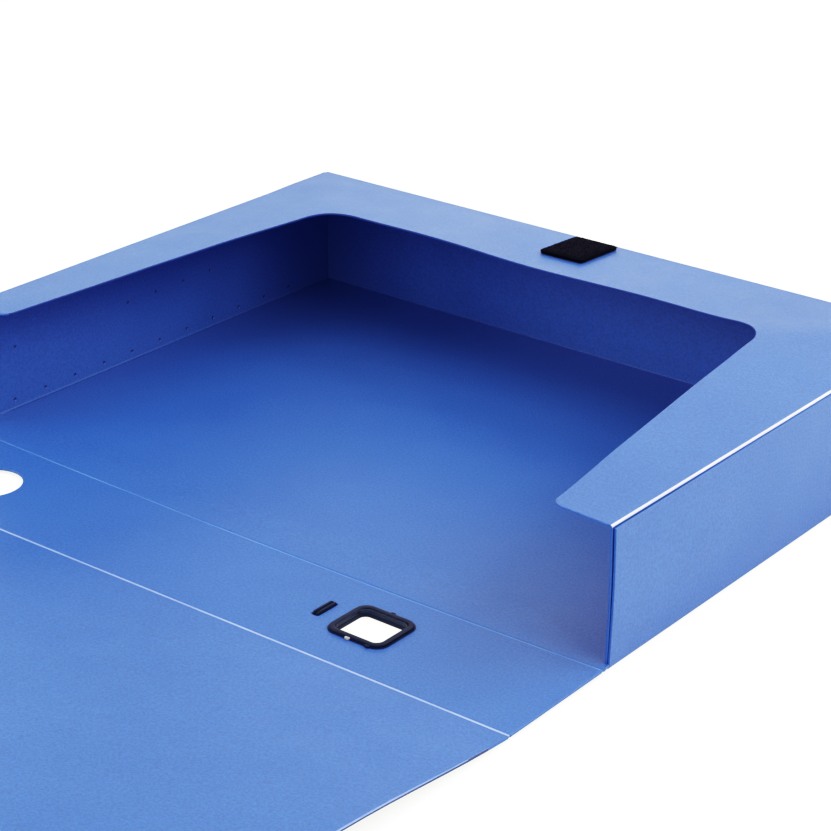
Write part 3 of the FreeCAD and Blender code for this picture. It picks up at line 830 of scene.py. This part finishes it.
def weld_plugs(side, word):
    verts, faces, n = [], [], 16
    for y, z in WELD_SPOTS:
        wall_x = float(inner_face(np.array(y), np.array(z)))
        rings = []
        for radius, depth in PLUG_PROFILE:
            x = side * (wall_x - SHEET + depth)
            first = len(verts)
            if radius == 0:
                verts.append((x, y, z))
                rings.append([first] * n)
            else:
                verts += [(x, y + radius * math.cos(a), z + radius * math.sin(a))
                          for a in np.linspace(0, 2 * np.pi, n, endpoint=False)]
                rings.append(list(range(first, first + n)))
        for p, q in zip(rings, rings[1:]):
            for i in range(n):
                j = (i + 1) % n
                face = list(dict.fromkeys((p[i], p[j], q[j], q[i])))
                if len(face) >= 3:
                    faces.append(tuple(face if side > 0 else face[::-1]))
    ob = new_object(f"{word}_weld_spots", verts, faces, [weld_and_edge_shade_mat], sharp=40)
    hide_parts(f"{word}_wall_welds")
    return ob


TAB_SHEET = 0.8
TAB_LONG = 30.0


def corner_tab(side, word):
    def shape(u, v, w):
        # u runs round the vertical fold and then towards the near end
        a = np.clip(u / QUARTER, 0, 1) * math.pi / 2
        run = np.clip(u - QUARTER, 0, None)
        radius = FOLD - (TAB_SHEET / 2 - w)
        x = HALF - 0.3 + radius * np.sin(a)
        y = FAR - FOLD + radius * np.cos(a) - run
        return side * x, y, v

    outline = rounded_loop([(0, 2.4), (TAB_LONG, 5.0), (TAB_LONG, 48.0), (0, WALL_TOP - 0.1)],
                           [0, 6, 6, 0])
    ob = plate(f"{word}_corner_tab_sheet", outline, [], shape, TAB_SHEET, SHEET_MATS, step=7,
               free=lambda u, v: u > 0.05, lines_u=BEND_LINES)
    return finish_side(ob, side, f"{word}_corner_tab")


# ---------------------------------------------------------------------------
# tray: rim
# ---------------------------------------------------------------------------
RIM_CORNER = 1.7      # plan radius of the rim's two far corners
TIP_SHIFT = 1.2       # how far the rim's near tips lie out of line
RIM_X = HALF - RIM_FLAT
RIM_Y = FAR - RIM_FLAT


def rim_path():
    """the left side, the far edge and the right side, as (x, y, nx, ny)"""
    def corner(x, start):
        angles = [math.radians(start - 90 * k / 8) for k in range(1, 8)]
        return [(x + RIM_CORNER * math.cos(a), FAR - RIM_CORNER + RIM_CORNER * math.sin(a),
                 math.cos(a), math.sin(a)) for a in angles]

    side_end, far_end = FAR - RIM_CORNER, HALF - RIM_CORNER
    path = [(-HALF, y, -1, 0) for y in np.linspace(NEAR, side_end, 46)]
    path += corner(-far_end, 180)
    path += [(x, FAR, 0, 1) for x in np.linspace(-far_end, far_end, 60)]
    path += corner(far_end, 90)
    path += [(HALF, y, 1, 0) for y in np.linspace(side_end, NEAR, 46)]
    return np.array(path)


def rim_fold():
    """the rim's outer fold: one bent strip round three sides, its ridge painted pale: partly
    stress whitening, partly a painted highlight
    """
    arc = [math.radians(90 * k / 10) for k in range(11)]

    def bend(radius, angles):
        return [(-FOLD + radius * math.cos(a), WALL_TOP + radius * math.sin(a)) for a in angles]

    profile = bend(FOLD, arc) + [(-RIM_FLAT, TOP), (-RIM_FLAT, TOP - SHEET)]
    profile += bend(FOLD - SHEET, arc[::-1])
    ob = sweep("rim_fold_strip", rim_path(), profile, [sheet_mat, fold_ridge_highlight_mat], closed=False)
    # the arc faces that look up and out get the pale material: a painted highlight, with some
    # stress whitening
    for p in ob.data.polygons:
        if 0.25 < p.normal.z < 0.93 and p.center.z / MM > WALL_TOP + 0.2:
            p.material_index = 1
    return ob


def rim_shape(u, v, w):
    """the sprung rim, with its thickness laid off square to the slope"""
    probe = 0.4
    slope_x = (rim_rise(u + probe, v) - rim_rise(u - probe, v)) / (2 * probe)
    slope_y = (rim_rise(u, v + probe) - rim_rise(u, v - probe)) / (2 * probe)
    steep = np.sqrt(1 + slope_x ** 2 + slope_y ** 2)
    depth = w - SHEET / 2
    # the right tip reaches a little past the fold's own end, the left one stops short of it
    near_end = ease(NEAR + 12, NEAR, v)
    right_tip = near_end * np.where(u > 0, HALF - np.abs(u), 0.0) / 24.0
    left_tip = near_end * np.where(u < 0, 1.0, 0.0) * ease(RIM_X, HALF - 6.0, np.abs(u))
    y = v - slope_y / steep * depth + TIP_SHIFT * (left_tip - right_tip)
    return u - slope_x / steep * depth, y, TOP + rim_rise(u, v) + depth / steep


def rim_flange():
    near_x, far_x = HALF - RIM_NEAR_WIDTH, HALF - RIM_FAR_WIDTH
    cut_y = NEAR + RIM_CUT_LONG
    outline = rounded_loop(
        [(-RIM_X, NEAR), (-near_x, NEAR), (-far_x, cut_y), (far_x, cut_y),
         (near_x, NEAR), (RIM_X, NEAR), (RIM_X, RIM_Y), (-RIM_X, RIM_Y)],
        [0, 4.6, 18, 18, 4.6, 0, 0, 0])
    ob = plate("rim_flange_sheet", outline, [], rim_shape, SHEET, [sheet_mat, rim_edge_shade_mat],
               step=5.5, free=lambda u, v: not (abs(u) > RIM_X - 0.12 or v > RIM_Y - 0.12),
               round_edge=0.2)
    # the cut edges at the near tips keep the sheet's own colour; the inner cut edges stay darker
    # as painted shade
    for f in ob.data.polygons:
        if f.material_index == 1 and f.center.y < (NEAR + 3.2) * MM:
            f.material_index = 0
    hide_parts("rim_flange")
    return ob


floor = base_sheet()
right_outer, left_outer = (outer_wall(*side) for side in SIDES)
fore = fore_edge_wall()
right_inner, left_inner = (inner_wall(*side) for side in SIDES)
right_welds, left_welds = (weld_plugs(*side) for side in SIDES)
right_tab, left_tab = (corner_tab(*side) for side in SIDES)
ridge = rim_fold()
flange = rim_flange()


# ---------------------------------------------------------------------------
# spine, cover and the two creases
# ---------------------------------------------------------------------------
HOLE_X, HOLE_Y, HOLE_RADIUS = -111.6, -149.0, 13.0   # round hole through the spine
RING_X, RING_Y = 81.2, -145.9                        # centre of collar and ring
PRONG_X, PRONG_Y = 59.2, -145.1                      # centre of the split tab
COLLAR_W, COLLAR_H, COLLAR_R = 22.0, 19.0, 4.0       # outside of the collar in plan


def spine_shape(u, v, w):
    shift = crease1_y(u) * ease(C1 - 18, C1, v) + crease2_y(u) * ease(C2 + 18, C2, v)
    return u, v + shift, SPINE_MID + w + spine_warp(u, v)


def spine_sheet():
    low, high = C2 + WEB, C1 - WEB
    holes = [
        circle_loop(HOLE_X, HOLE_Y, HOLE_RADIUS, 72),
        round_rect_path(RING_X, RING_Y, COLLAR_W + 0.3, COLLAR_H + 0.3, COLLAR_R + 0.1)[:, :2],
        round_rect_path(PRONG_X, PRONG_Y, 3.2, 11.4, 0.8, 5)[:, :2],
    ]
    ob = plate("spine_sheet", rect_loop(-WIDE, WIDE, low, high), holes, spine_shape, PANEL,
               SHEET_MATS, step=6.5, free=lambda u, v: low + 0.05 <= v <= high - 0.05,
               round_edge=0.2)
    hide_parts("spine_panel")
    return ob


COVER_INSET = 1.3     # the cover narrows by this at each side, away from the crease
EDGE_LIFT = 0.6       # and its sides curl up by this
COVER_SAG = 0.4       # its middle hangs by this
HIGHLIGHT_BAND = 0.7        # width of the painted highlight band along each side


def cover_away(run):
    """0 at the crease, 1 from 75 mm on"""
    return ease(8, 75, run)


def cover_shape(u, v, w):
    c, s = math.cos(COVER_UP), math.sin(COVER_UP)
    run = C2 - v
    far_k = cover_away(run)
    sag = (-COVER_SAG * np.sin(np.pi * np.clip(run / COVER_LONG, 0, 1))
           * (1 - (u / HALF) ** 2))
    height = SPINE_MID + w - AXIS_Z + sag
    height = height + EDGE_LIFT * far_k * ease(HALF - 26, WIDE, np.abs(u))
    # the painted highlight band along the edge starts as a hair line
    inward, share = WIDE - np.abs(u), 0.25 + 0.75 * ease(12, 60, run)
    inward = np.where(inward < HIGHLIGHT_BAND, inward * share,
                      inward - HIGHLIGHT_BAND * (1 - share) * (1 - ease(HIGHLIGHT_BAND, 8, inward)))
    u = np.sign(u) * (WIDE - inward)
    u = u - np.sign(u) * COVER_INSET * far_k * ease(HALF - 40, WIDE, np.abs(u))
    y = C2 - run * c + height * s + crease2_y(u) * ease(18, 0, run)
    return u, y, AXIS_Z + run * s + height * c


def cover_sheet():
    end = C2 - WEB
    ob = plate("cover_sheet", rect_loop(-WIDE, WIDE, C2 - COVER_LONG, end, [5, 5, 0, 0]), [],
               cover_shape, PANEL, SHEET_MATS + [edge_band_highlight_mat, weld_and_edge_shade_mat], step=10,
               free=lambda u, v: v < end - 0.05, round_edge=0.2,
               lines_u=[-WIDE + 0.62, -WIDE + 12, WIDE - 12, WIDE - 0.62])
    # a painted highlight band on top of each side and painted shade on its cut edge
    for f in ob.data.polygons:
        x, run = abs(f.center.x) / MM, C2 - f.center.y / MM
        if x > WIDE - 0.6 - COVER_INSET * float(cover_away(run)) and 12 < run < COVER_LONG:
            if f.normal.z > 0.3:
                f.material_index = 2
            elif abs(f.normal.z) < 0.6:
                # the cut side faces take the dark material as painted shade
                f.material_index = 3
    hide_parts("cover_panel")
    return ob


def base_shape_level(u, v, w):
    """the base carried on level past its own edge"""
    held = np.maximum(v, BASE_EDGE)
    x, y, z = base_shape(u, held, w)
    return x, y + (v - held), z


def crease_web(name, node, far_side, near_side, centre, line_half, depth, line_mat):
    """the thinned sheet of a crease: a shallow groove above and below, and a pale line along the
    bottom of the upper one, partly stress whitening and partly a painted highlight. far_side and
    near_side shape the sheets it joins."""
    stations = 90
    steps = (WEB, 0.62, 0.45, line_half, line_half * 0.5)
    across = sorted([s * d for s in (1, -1) for d in steps] + [0.0], reverse=True)
    n = len(across)
    along = np.linspace(-WIDE + 0.2, WIDE - 0.2, stations)
    x, surface, v = (g.ravel() for g in np.meshgrid(along, (1, -1), across, indexing="ij"))
    groove = np.cos(np.pi / 2 * np.minimum(1, np.abs(v) / WEB)) ** 1.5
    w = surface * (PANEL / 2 - groove * np.where(surface > 0, depth, 0.28))
    k = ease(WEB, -WEB, v)[:, None]
    verts = (np.column_stack(far_side(x, centre + v, w)) * (1 - k)
             + np.column_stack(near_side(x, centre + v, w)) * k)
    faces, index = [], []
    for i in range(stations - 1):
        p, q = i * 2 * n, (i + 1) * 2 * n
        for j in range(n - 1):
            faces.append((p + j, p + j + 1, q + j + 1, q + j))
            faces.append((p + n + j + 1, p + n + j, q + n + j, q + n + j + 1))
            middle = 0.5 * (across[j] + across[j + 1])
            # the middle of the upper groove takes the pale line: stress whitening and a painted
            # highlight
            index += [1 if abs(middle) < line_half else 0, 0]
        faces.append((q, q + n, p + n, p))
        faces.append((p + n - 1, p + 2 * n - 1, q + 2 * n - 1, q + n - 1))
        index += [0, 0]
    for i, flip in ((0, False), (stations - 1, True)):
        p = i * 2 * n
        for j in range(n - 1):
            face = (p + j, p + n + j, p + n + j + 1, p + j + 1)
            faces.append(face[::-1] if flip else face)
            index.append(0)
    ob = new_object(name, verts, faces, [sheet_mat, line_mat], index, sharp=35)
    if signed_volume(verts, faces) < 0:
        ob.data.flip_normals()
    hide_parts(node)
    return ob


spine = spine_sheet()
cover = cover_sheet()
web1 = crease_web("spine_crease", "spine_hinge_web", base_shape_level, spine_shape, C1,
                  line_half=0.26, depth=0.22, line_mat=fine_crease_highlight_mat)
web2 = crease_web("cover_crease", "cover_hinge_web", spine_shape, cover_shape, C2,
                  line_half=0.5, depth=0.2, line_mat=crease_line_highlight_mat)


# ---------------------------------------------------------------------------
# finger pull and its ring
# ---------------------------------------------------------------------------
RING_LIFT = float(spine_warp(RING_X, RING_Y))   # the spine's own lift here
SPINE_TOP = spine_hi[2] + RING_LIFT
PULL_FOOT = pull_lo[2] + 0.3                    # lower edge of the collar
PULL_LEFT = RING_X - 27.6                       # free end of the outer plate

# one prong of the split tab, along y: (offset, height over the spine, share of full width)
PRONG_END = [(-5.45, 0.35, 0.55), (-5.15, 0.72, 0.85), (-4.7, 0.98, 1.0), (-3.9, 1.08, 1.0)]
PRONG_STATIONS = (PRONG_END + [(0.0, 1.12, 1.0)]
                  + [(-offset, height, share) for offset, height, share in PRONG_END[::-1]])
# its section: (share of width, share of height)
PRONG_SECTION = [(0, 0), (0, 0.72), (0.12, 0.93), (0.32, 1.0), (0.62, 1.0), (0.88, 0.9),
                 (1.0, 0.66), (1.12, 0.2), (1.0, 0)]


def pull_plate():
    """the plate under the spine, thinned towards its free end"""
    outline = rect_loop(PULL_LEFT, RING_X + 15.0, RING_Y - 13.0, RING_Y + 13.0, 6)
    opening = round_rect_path(RING_X, RING_Y, COLLAR_W - 1.9, COLLAR_H - 1.9, COLLAR_R - 0.9)
    return plate("pull_plate", outline, [opening[:, :2]],
                 lambda u, v, w: (u, v, 0.42 + w * (1 - 0.35 * ease(8, 0, u - PULL_LEFT))),
                 0.72, [black_mat, black_mat], step=4, round_edge=0.26)


def prong(side):
    """one half of the split tab: a slim bar with a rounded back and tapered ends"""
    inner, outer, foot = 0.24, 1.42, 0.5
    verts, faces = [], []
    for offset, height, share in PRONG_STATIONS:
        for out, up in PRONG_SECTION:
            x = PRONG_X + side * (inner + (outer - inner) * out * share)
            verts.append((x, PRONG_Y + offset, (SPINE_TOP + height - foot) * up + foot))
    n = len(PRONG_SECTION)
    last = (len(PRONG_STATIONS) - 1) * n
    for i in range(0, last, n):
        for j in range(n):
            k = (j + 1) % n
            face = (i + j, i + k, i + n + k, i + n + j)
            faces.append(face if side > 0 else face[::-1])
    start = tuple(range(n))
    end = tuple(last + j for j in range(n))
    faces += [start[::-1], end] if side > 0 else [start, end[::-1]]
    ob = new_object(f"prong{side}", verts, faces, [black_mat], sharp=50)
    if signed_volume(verts, faces) < 0:
        ob.data.flip_normals()
    return ob


def grip_rib(k):
    path = round_rect_path(RING_X - 25.0 + 2.4 * k, RING_Y, 1.0, 15.5 - 0.8 * abs(k - 1.5),
                           0.49, 5)
    return sweep(f"rib{k}", path, soft_profile(-0.42, 0.0, 0.03, 0.3, 0.1, 3), [black_mat])


def finger_pull():
    """outer plate, collar through the spine, split tab and grip ribs"""
    path = round_rect_path(RING_X, RING_Y, COLLAR_W, COLLAR_H, COLLAR_R, 12)
    collar_top = ring_hi[2] + RING_LIFT - 0.28
    collar = sweep("collar", path, soft_profile(-0.85, 0.0, PULL_FOOT, collar_top, 0.2),
                   [gloss_mat])
    # a thin step inside the collar
    step_top = spine_lo[2] + 0.55 + RING_LIFT
    step = sweep("collar_step", path, soft_profile(-1.1, -0.8, PULL_FOOT, step_top, 0.12),
                 [black_mat])
    # the raised rim round the plate's opening
    mouth_path = round_rect_path(RING_X, RING_Y, COLLAR_W + 0.4, COLLAR_H + 0.4, COLLAR_R, 12)
    mouth = sweep("mouth", mouth_path, soft_profile(-1.3, 0.9, 0.0, 0.32, 0.13, 3), [black_mat])
    ob = join("finger_pull_moulding", [collar, step, pull_plate(), mouth, prong(1), prong(-1)]
              + [grip_rib(k) for k in range(4)])
    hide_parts("finger_pull")
    return ob


def retaining_ring():
    """a ring on the spine's inner face, with a low ledge and three small ears"""
    width, height, radius = 25.2, 22.8, 4.7
    centre_y = RING_Y + 0.35
    path = round_rect_path(RING_X, centre_y, width, height, radius, 12)
    foot = SPINE_TOP + 0.01
    parts = [
        sweep("ring", path, soft_profile(-2.15, 0.0, foot, SPINE_TOP + 1.2, 0.34, 5),
              [black_mat]),
        sweep("ledge", path, soft_profile(-0.9, 0.5, foot, SPINE_TOP + 0.42, 0.16, 3),
              [black_mat]),
    ]
    # the first ear is painted pale grey as a glint, a painted highlight
    for dx, side, mat in ((-1.4, -1, ear_glint_mat), (7.6, -1, black_mat), (0.2, 1, black_mat)):
        ear_y = centre_y + side * (height / 2 + 0.3)
        parts.append(sweep("ear", round_rect_path(RING_X + dx, ear_y, 2.1, 1.4, 0.5, 4),
                           soft_profile(-0.72, 0.0, SPINE_TOP + 0.02, SPINE_TOP + 0.95, 0.2, 3),
                           [mat]))
    ob = join("retaining_ring_moulding", parts)
    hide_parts("retaining_ring")
    return ob


pull = finger_pull()
ring = retaining_ring()


# ---------------------------------------------------------------------------
# label pocket and card on the spine's outer face
# ---------------------------------------------------------------------------
def level(z):
    """a flat sheet whose middle plane is at z"""
    return lambda u, v, w: (u, v, z + w)


def label_pocket():
    """a clear film with welded seams along three of its sides"""
    x0, x1, y0, y1 = pocket_lo[0], pocket_hi[0], pocket_lo[1], pocket_hi[1]
    seam, gap = 2.0, 0.1
    mats = [film_mat, film_mat]
    parts = [plate("film", rect_loop(x0, x1, y0, y1, [1.5, 0.4, 0.4, 1.5]), [],
                   level(0.38), 0.16, mats, step=7, round_edge=0.05)]
    for a, b, c, d in ((x0, x1, y0, y0 + seam), (x0, x1, y1 - seam, y1),
                       (x0, x0 + seam, y0 + seam, y1 - seam)):
        parts.append(plate("seam", rect_loop(a + gap, b - gap, c + gap, d - gap, 0.4), [],
                           level(0.63), 0.3, mats, step=7, round_edge=0.06))
    ob = join("label_pocket_film", parts)
    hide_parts("label_pocket")
    return ob


def label_card():
    ob = plate("label_card_sheet", rect_loop(card_lo[0], card_hi[0], card_lo[1], card_hi[1], 0.5),
               [], level(0.62), 0.22, [card_mat, card_mat], step=9, round_edge=0.05)
    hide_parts("label_card")
    return ob


pocket = label_pocket()
card = label_card()


# ---------------------------------------------------------------------------
# fastener, loop half: on the sprung rim
# ---------------------------------------------------------------------------
LOOP_X = 0.5 * (loop_lo[0] + loop_hi[0]) - 0.4
LOOP_Y = 0.5 * (loop_lo[1] + loop_hi[1]) + 1.6
LOOP_W, LOOP_H = 21.8, 28.6
LOOP_TURN = math.radians(0.8)
GLUE_THICK, GLUE_MID = 0.18, 0.11   # thickness, and middle plane above the sheet
FIBRE_COUNT = 5200


def askew(u, v):
    """the loop pad lies a little out of square"""
    c, s = math.cos(LOOP_TURN), math.sin(LOOP_TURN)
    du, dv = u - LOOP_X, v - LOOP_Y
    return LOOP_X + du * c - dv * s, LOOP_Y + du * s + dv * c


def on_rim(u, v, w):
    x, y = askew(u, v)
    return x, y, TOP + rim_rise(x, y) + w


def pad_edge(u, v):
    """distance in from the nearest edge of the loop pad"""
    from_u = np.minimum(u - (LOOP_X - LOOP_W / 2), LOOP_X + LOOP_W / 2 - u)
    from_v = np.minimum(v - (LOOP_Y - LOOP_H / 2), LOOP_Y + LOOP_H / 2 - v)
    return np.minimum(from_u, from_v)


def pad_dome(edge):
    return 0.45 * ease(0, 2.5, edge)


def pile_shape(u, v, w):
    """a flat underside and a domed, lumpy top"""
    edge = pad_edge(u, v)
    lump = (0.16 * np.sin(u * 2.1 + 1.3 * np.sin(v * 1.7)) * np.sin(v * 2.4 + np.sin(u * 1.3))
            + 0.08 * np.sin(u * 5.3 + v * 3.1))
    raised = np.where(w > 0, 0.45 + pad_dome(edge) + lump * ease(0, 1.5, edge), 0)
    return on_rim(u, v, 0.75 + w + raised)


def loop_adhesive():
    half_w, half_h = LOOP_W / 2 - 0.35, LOOP_H / 2 - 0.35
    outline = rect_loop(LOOP_X - half_w, LOOP_X + half_w, LOOP_Y - half_h, LOOP_Y + half_h, 1.6)
    ob = plate("loop_adhesive_layer", outline, [], lambda u, v, w: on_rim(u, v, GLUE_MID + w),
               GLUE_THICK, [glue_mat, glue_mat], step=3, round_edge=0.04)
    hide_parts("loop_adhesive")
    return ob


def nap_lines():
    """small arched fibres scattered over the pad; those at its edge lean outwards"""
    rng = np.random.default_rng(20261)

    def draw(low, high):
        return rng.uniform(low, high, FIBRE_COUNT)[:, None]

    u = draw(LOOP_X - LOOP_W / 2 + 0.1, LOOP_X + LOOP_W / 2 - 0.1)
    v = draw(LOOP_Y - LOOP_H / 2 + 0.1, LOOP_Y + LOOP_H / 2 - 0.1)
    heading = draw(0, 2 * np.pi)
    size = draw(0.28, 0.62)
    rise = draw(0.22, 0.62)
    edge = pad_edge(u, v)
    foot = on_rim(u, v, 1.45 + pad_dome(edge))[2]
    du, dv = u - LOOP_X, v - LOOP_Y
    at_side = np.abs(du) > np.abs(dv)
    lean = np.where(edge < 0.6, 0.25, 0.0)
    t = np.array([[0, 0.35, 0.7, 1.0]])   # stations along a fibre
    x, y = askew(u + np.cos(heading) * size * (t - 0.5) + lean * np.sign(du) * at_side * t,
                 v + np.sin(heading) * size * (t - 0.5) + lean * np.sign(dv) * ~at_side * t)
    z = foot - 0.15 + rise * np.sin(np.pi * np.minimum(1, t * 1.05))
    return np.stack([x, y, z], 2)


def loop_patch():
    pad = plate("pad", wavy_rect(LOOP_X, LOOP_Y, LOOP_W, LOOP_H, 1.7, amplitude=0.14, seed=5),
                [], pile_shape, 1.0, [backing_mat, backing_mat], step=0.85, round_edge=0.22)
    nap = fibres("nap", nap_lines(), radius=0.055, sides=3, mat=pile_mat)
    ob = join("loop_patch_pile", [pad, nap])
    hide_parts("loop_patch")
    return ob


# ---------------------------------------------------------------------------
# fastener, hook half: on the cover's inner face
# ---------------------------------------------------------------------------
HOOK_W, HOOK_H = 23.0, 24.0
HOOK_U = 0.5 * (hook_lo[0] + hook_hi[0])
# the pad's centre measured along the sloping cover
HOOK_V = (C2 - (C2 - 0.5 * (hook_lo[1] + hook_hi[1])) / math.cos(COVER_UP)
          + PANEL / 2 * math.tan(COVER_UP))
# one hook: (sideways, height above the cover's face)
HOOK_CURVE = np.array([(0, 0.55), (0, 0.75), (0.1, 0.87), (0.28, 0.88), (0.36, 0.76)])
HOOK_SKEW = np.array([0, 0.02, 0, 0, 0])   # its points' shift along v


def on_cover(lift):
    return lambda u, v, w: cover_shape(u, v, PANEL / 2 + lift + w)


def hook_adhesive():
    outline = rect_loop(HOOK_U - HOOK_W / 2, HOOK_U + HOOK_W / 2,
                        HOOK_V - HOOK_H / 2, HOOK_V + HOOK_H / 2, 1.6)
    ob = plate("hook_adhesive_layer", outline, [], on_cover(GLUE_MID), GLUE_THICK,
               [glue_mat, glue_mat], step=4, round_edge=0.04)
    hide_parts("hook_adhesive")
    return ob


def hook_lines():
    """rows of hooks, staggered and facing alternately left and right"""
    lines = []
    for i, u in enumerate(np.arange(HOOK_U - 10.6, HOOK_U + 10.7, 0.95)):
        facing = 1 if i % 2 else -1
        for row in np.arange(HOOK_V - 11.1, HOOK_V + 11.2, 1.0):
            v = row + (0.5 if i % 2 else 0)
            if abs(v - HOOK_V) > 11.3:
                continue
            lines.append(np.column_stack(cover_shape(
                u + facing * HOOK_CURVE[:, 0], v + facing * HOOK_SKEW,
                PANEL / 2 + HOOK_CURVE[:, 1])))
    return lines


def hook_patch():
    cloth = plate("cloth", wavy_rect(HOOK_U, HOOK_V, HOOK_W, HOOK_H, 1.7, amplitude=0.08, seed=9),
                  [], on_cover(0.42), 0.42, [backing_mat, backing_mat], step=2.4,
                  round_edge=0.12)
    hooks = fibres("hooks", hook_lines(), radius=0.085, sides=4, mat=hook_mat)
    ob = join("hook_patch_hooks", [cloth, hooks])
    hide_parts("hook_patch")
    return ob


loop_glue = loop_adhesive()
loop_pad = loop_patch()
hook_glue = hook_adhesive()
hook_pad = hook_patch()

# ---------------------------------------------------------------------------
# bodies and finishes
# ---------------------------------------------------------------------------
tray_sheets = (floor, right_outer, left_outer, fore, right_inner, left_inner, right_tab,
               left_tab, ridge, flange)
welds = (right_welds, left_welds)

BODIES = (
    ("tray", tray_sheets + welds + (loop_glue, loop_pad)),
    ("spine", (spine, pull, ring, pocket)),
    ("cover", (cover, hook_glue, hook_pad)),
    ("label", (card,)),
)
for body, pieces in BODIES:
    for ob in pieces:
        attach(ob, body)

for web, before, after, crease in ((web1, "tray", "spine", C1), (web2, "spine", "cover", C2)):
    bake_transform(web)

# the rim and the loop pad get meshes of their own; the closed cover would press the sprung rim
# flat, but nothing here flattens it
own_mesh(flange)
for ob in (loop_glue, loop_pad):
    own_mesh(ob)


# ---------------------------------------------------------------------------
# stage: pale floor, soft light, camera; lengths here are in metres
# ---------------------------------------------------------------------------
def stage_material():
    """a matt floor that also glows, but only as the camera sees it"""
    material, nodes, links, surface = new_material("stage_floor")
    set_inputs(surface, {"Base Color": (0.82, 0.87, 0.9, 1), "Roughness": 0.8,
                         "Specular IOR Level": 0.1})
    glow = nodes.new("ShaderNodeEmission")
    set_inputs(glow, {"Color": (1, 1, 1, 1), "Strength": 1.0})
    path = nodes.new("ShaderNodeLightPath")
    share = nodes.new("ShaderNodeMath")
    share.operation = "MULTIPLY"
    links.new(path.outputs["Is Camera Ray"], share.inputs[0])
    share.inputs[1].default_value = 0.78   # share of glow in what the camera sees
    mix = nodes.new("ShaderNodeMixShader")
    links.new(share.outputs[0], mix.inputs[0])
    links.new(surface.outputs["BSDF"], mix.inputs[1])
    links.new(glow.outputs["Emission"], mix.inputs[2])
    links.new(mix.outputs["Shader"], nodes["Material Output"].inputs["Surface"])
    return material


def stage_floor():
    half, z = 9.0, -0.0002
    mesh = bpy.data.meshes.new("stage_floor")
    corners = [(-half, -half, z), (half, -half, z), (half, half, z), (-half, half, z)]
    mesh.from_pydata(corners, [], [(0, 1, 2, 3)])
    mesh.materials.append(stage_material())
    ob = bpy.data.objects.new("stage_floor", mesh)
    bpy.context.scene.collection.objects.link(ob)


def studio_world():
    world = bpy.data.worlds.new("studio")
    bpy.context.scene.world = world
    world.use_nodes = True
    set_inputs(world.node_tree.nodes["Background"],
               {"Color": (1.0, 0.93, 0.9, 1), "Strength": 0.42})


WARM = (1.13, 0.995, 0.965)
# soft boxes aimed at the origin: name, place, width, height, watts, tint
LIGHTS = (
    ("back_low", (0.0, 2.2, 0.75), 3.2, 0.9, 10.6, WARM),
    ("back_high", (0.0, 1.8, 1.7), 3.0, 1.2, 6.7, WARM),
    ("back_left", (-1.9, 1.5, 0.7), 1.6, 0.9, 5.9, (1.0, 0.96, 0.98)),
    ("back_right", (1.3, 1.3, 1.7), 1.4, 1.2, 25.8, WARM),
    ("top", (0.0, 0.0, 2.2), 1.6, 1.6, 12.6, WARM),
    ("right", (1.9, -0.2, 1.5), 1.4, 1.2, 24.2, (1.36, 1.04, 0.92)),
    ("left", (-2.2, -0.3, 1.0), 1.6, 1.2, 3.9, WARM),
    ("front", (0.2, -2.2, 1.2), 1.8, 1.2, 19.8, WARM),
    ("front_left", (-1.6, -1.6, 1.0), 1.4, 1.2, 19.3, WARM),
)


def softbox(name, place, width, height, watts, tint):
    data = bpy.data.lights.new("soft_" + name, "AREA")
    data.shape = "RECTANGLE"
    data.size = width
    data.size_y = height
    data.energy = watts
    data.color = tint
    ob = bpy.data.objects.new("soft_" + name, data)
    ob.location = place
    ob.rotation_mode = "QUATERNION"
    ob.rotation_quaternion = (Vector((0, 0, 0)) - Vector(place)).to_track_quat("-Z", "Y")
    bpy.context.scene.collection.objects.link(ob)


def camera():
    data = bpy.data.cameras.new("camera")
    data.lens = 103.75
    data.sensor_width = 36.0
    data.clip_start = 0.02
    data.clip_end = 60
    ob = bpy.data.objects.new("camera", data)
    right = Vector((0.78353336, 0.62131212, 0.00683444))
    down = Vector((0.25563676, -0.31231784, -0.91493574))
    ahead = Vector((-0.56632615, 0.71862982, -0.40354167))
    turn = Matrix((right, -down, -ahead)).transposed()
    ob.matrix_world = Matrix.Translation((0.551102, -0.717829, 0.410133)) @ turn.to_4x4()
    bpy.context.scene.collection.objects.link(ob)
    bpy.context.scene.camera = ob


def tone(view, channel, strength):
    """a gentle S in display tone, given to the view as a linear curve for one channel"""
    def linear(d):
        return d / 12.92 if d <= 0.04045 else ((d + 0.055) / 1.055) ** 2.4

    curve = view.curve_mapping.curves[channel]
    for d in (0.03, 0.06, 0.1, 0.15, 0.2, 0.26, 0.33, 0.41, 0.5, 0.6, 0.7, 0.8, 0.9):
        bent = d - strength * math.sin(2 * math.pi * d) / (2 * math.pi)
        curve.points.new(linear(d), linear(bent))
    for p in curve.points:
        p.handle_type = "VECTOR"
    view.curve_mapping.update()


stage_floor()
studio_world()
for light in LIGHTS:
    softbox(*light)
camera()

view = bpy.context.scene.view_settings
view.view_transform = "Standard"
view.use_curve_mapping = True
for channel, strength in enumerate((0.45, 0.55, 0.25)):   # red, green, blue
    tone(view, channel, strength)

bpy.context.view_layer.update()
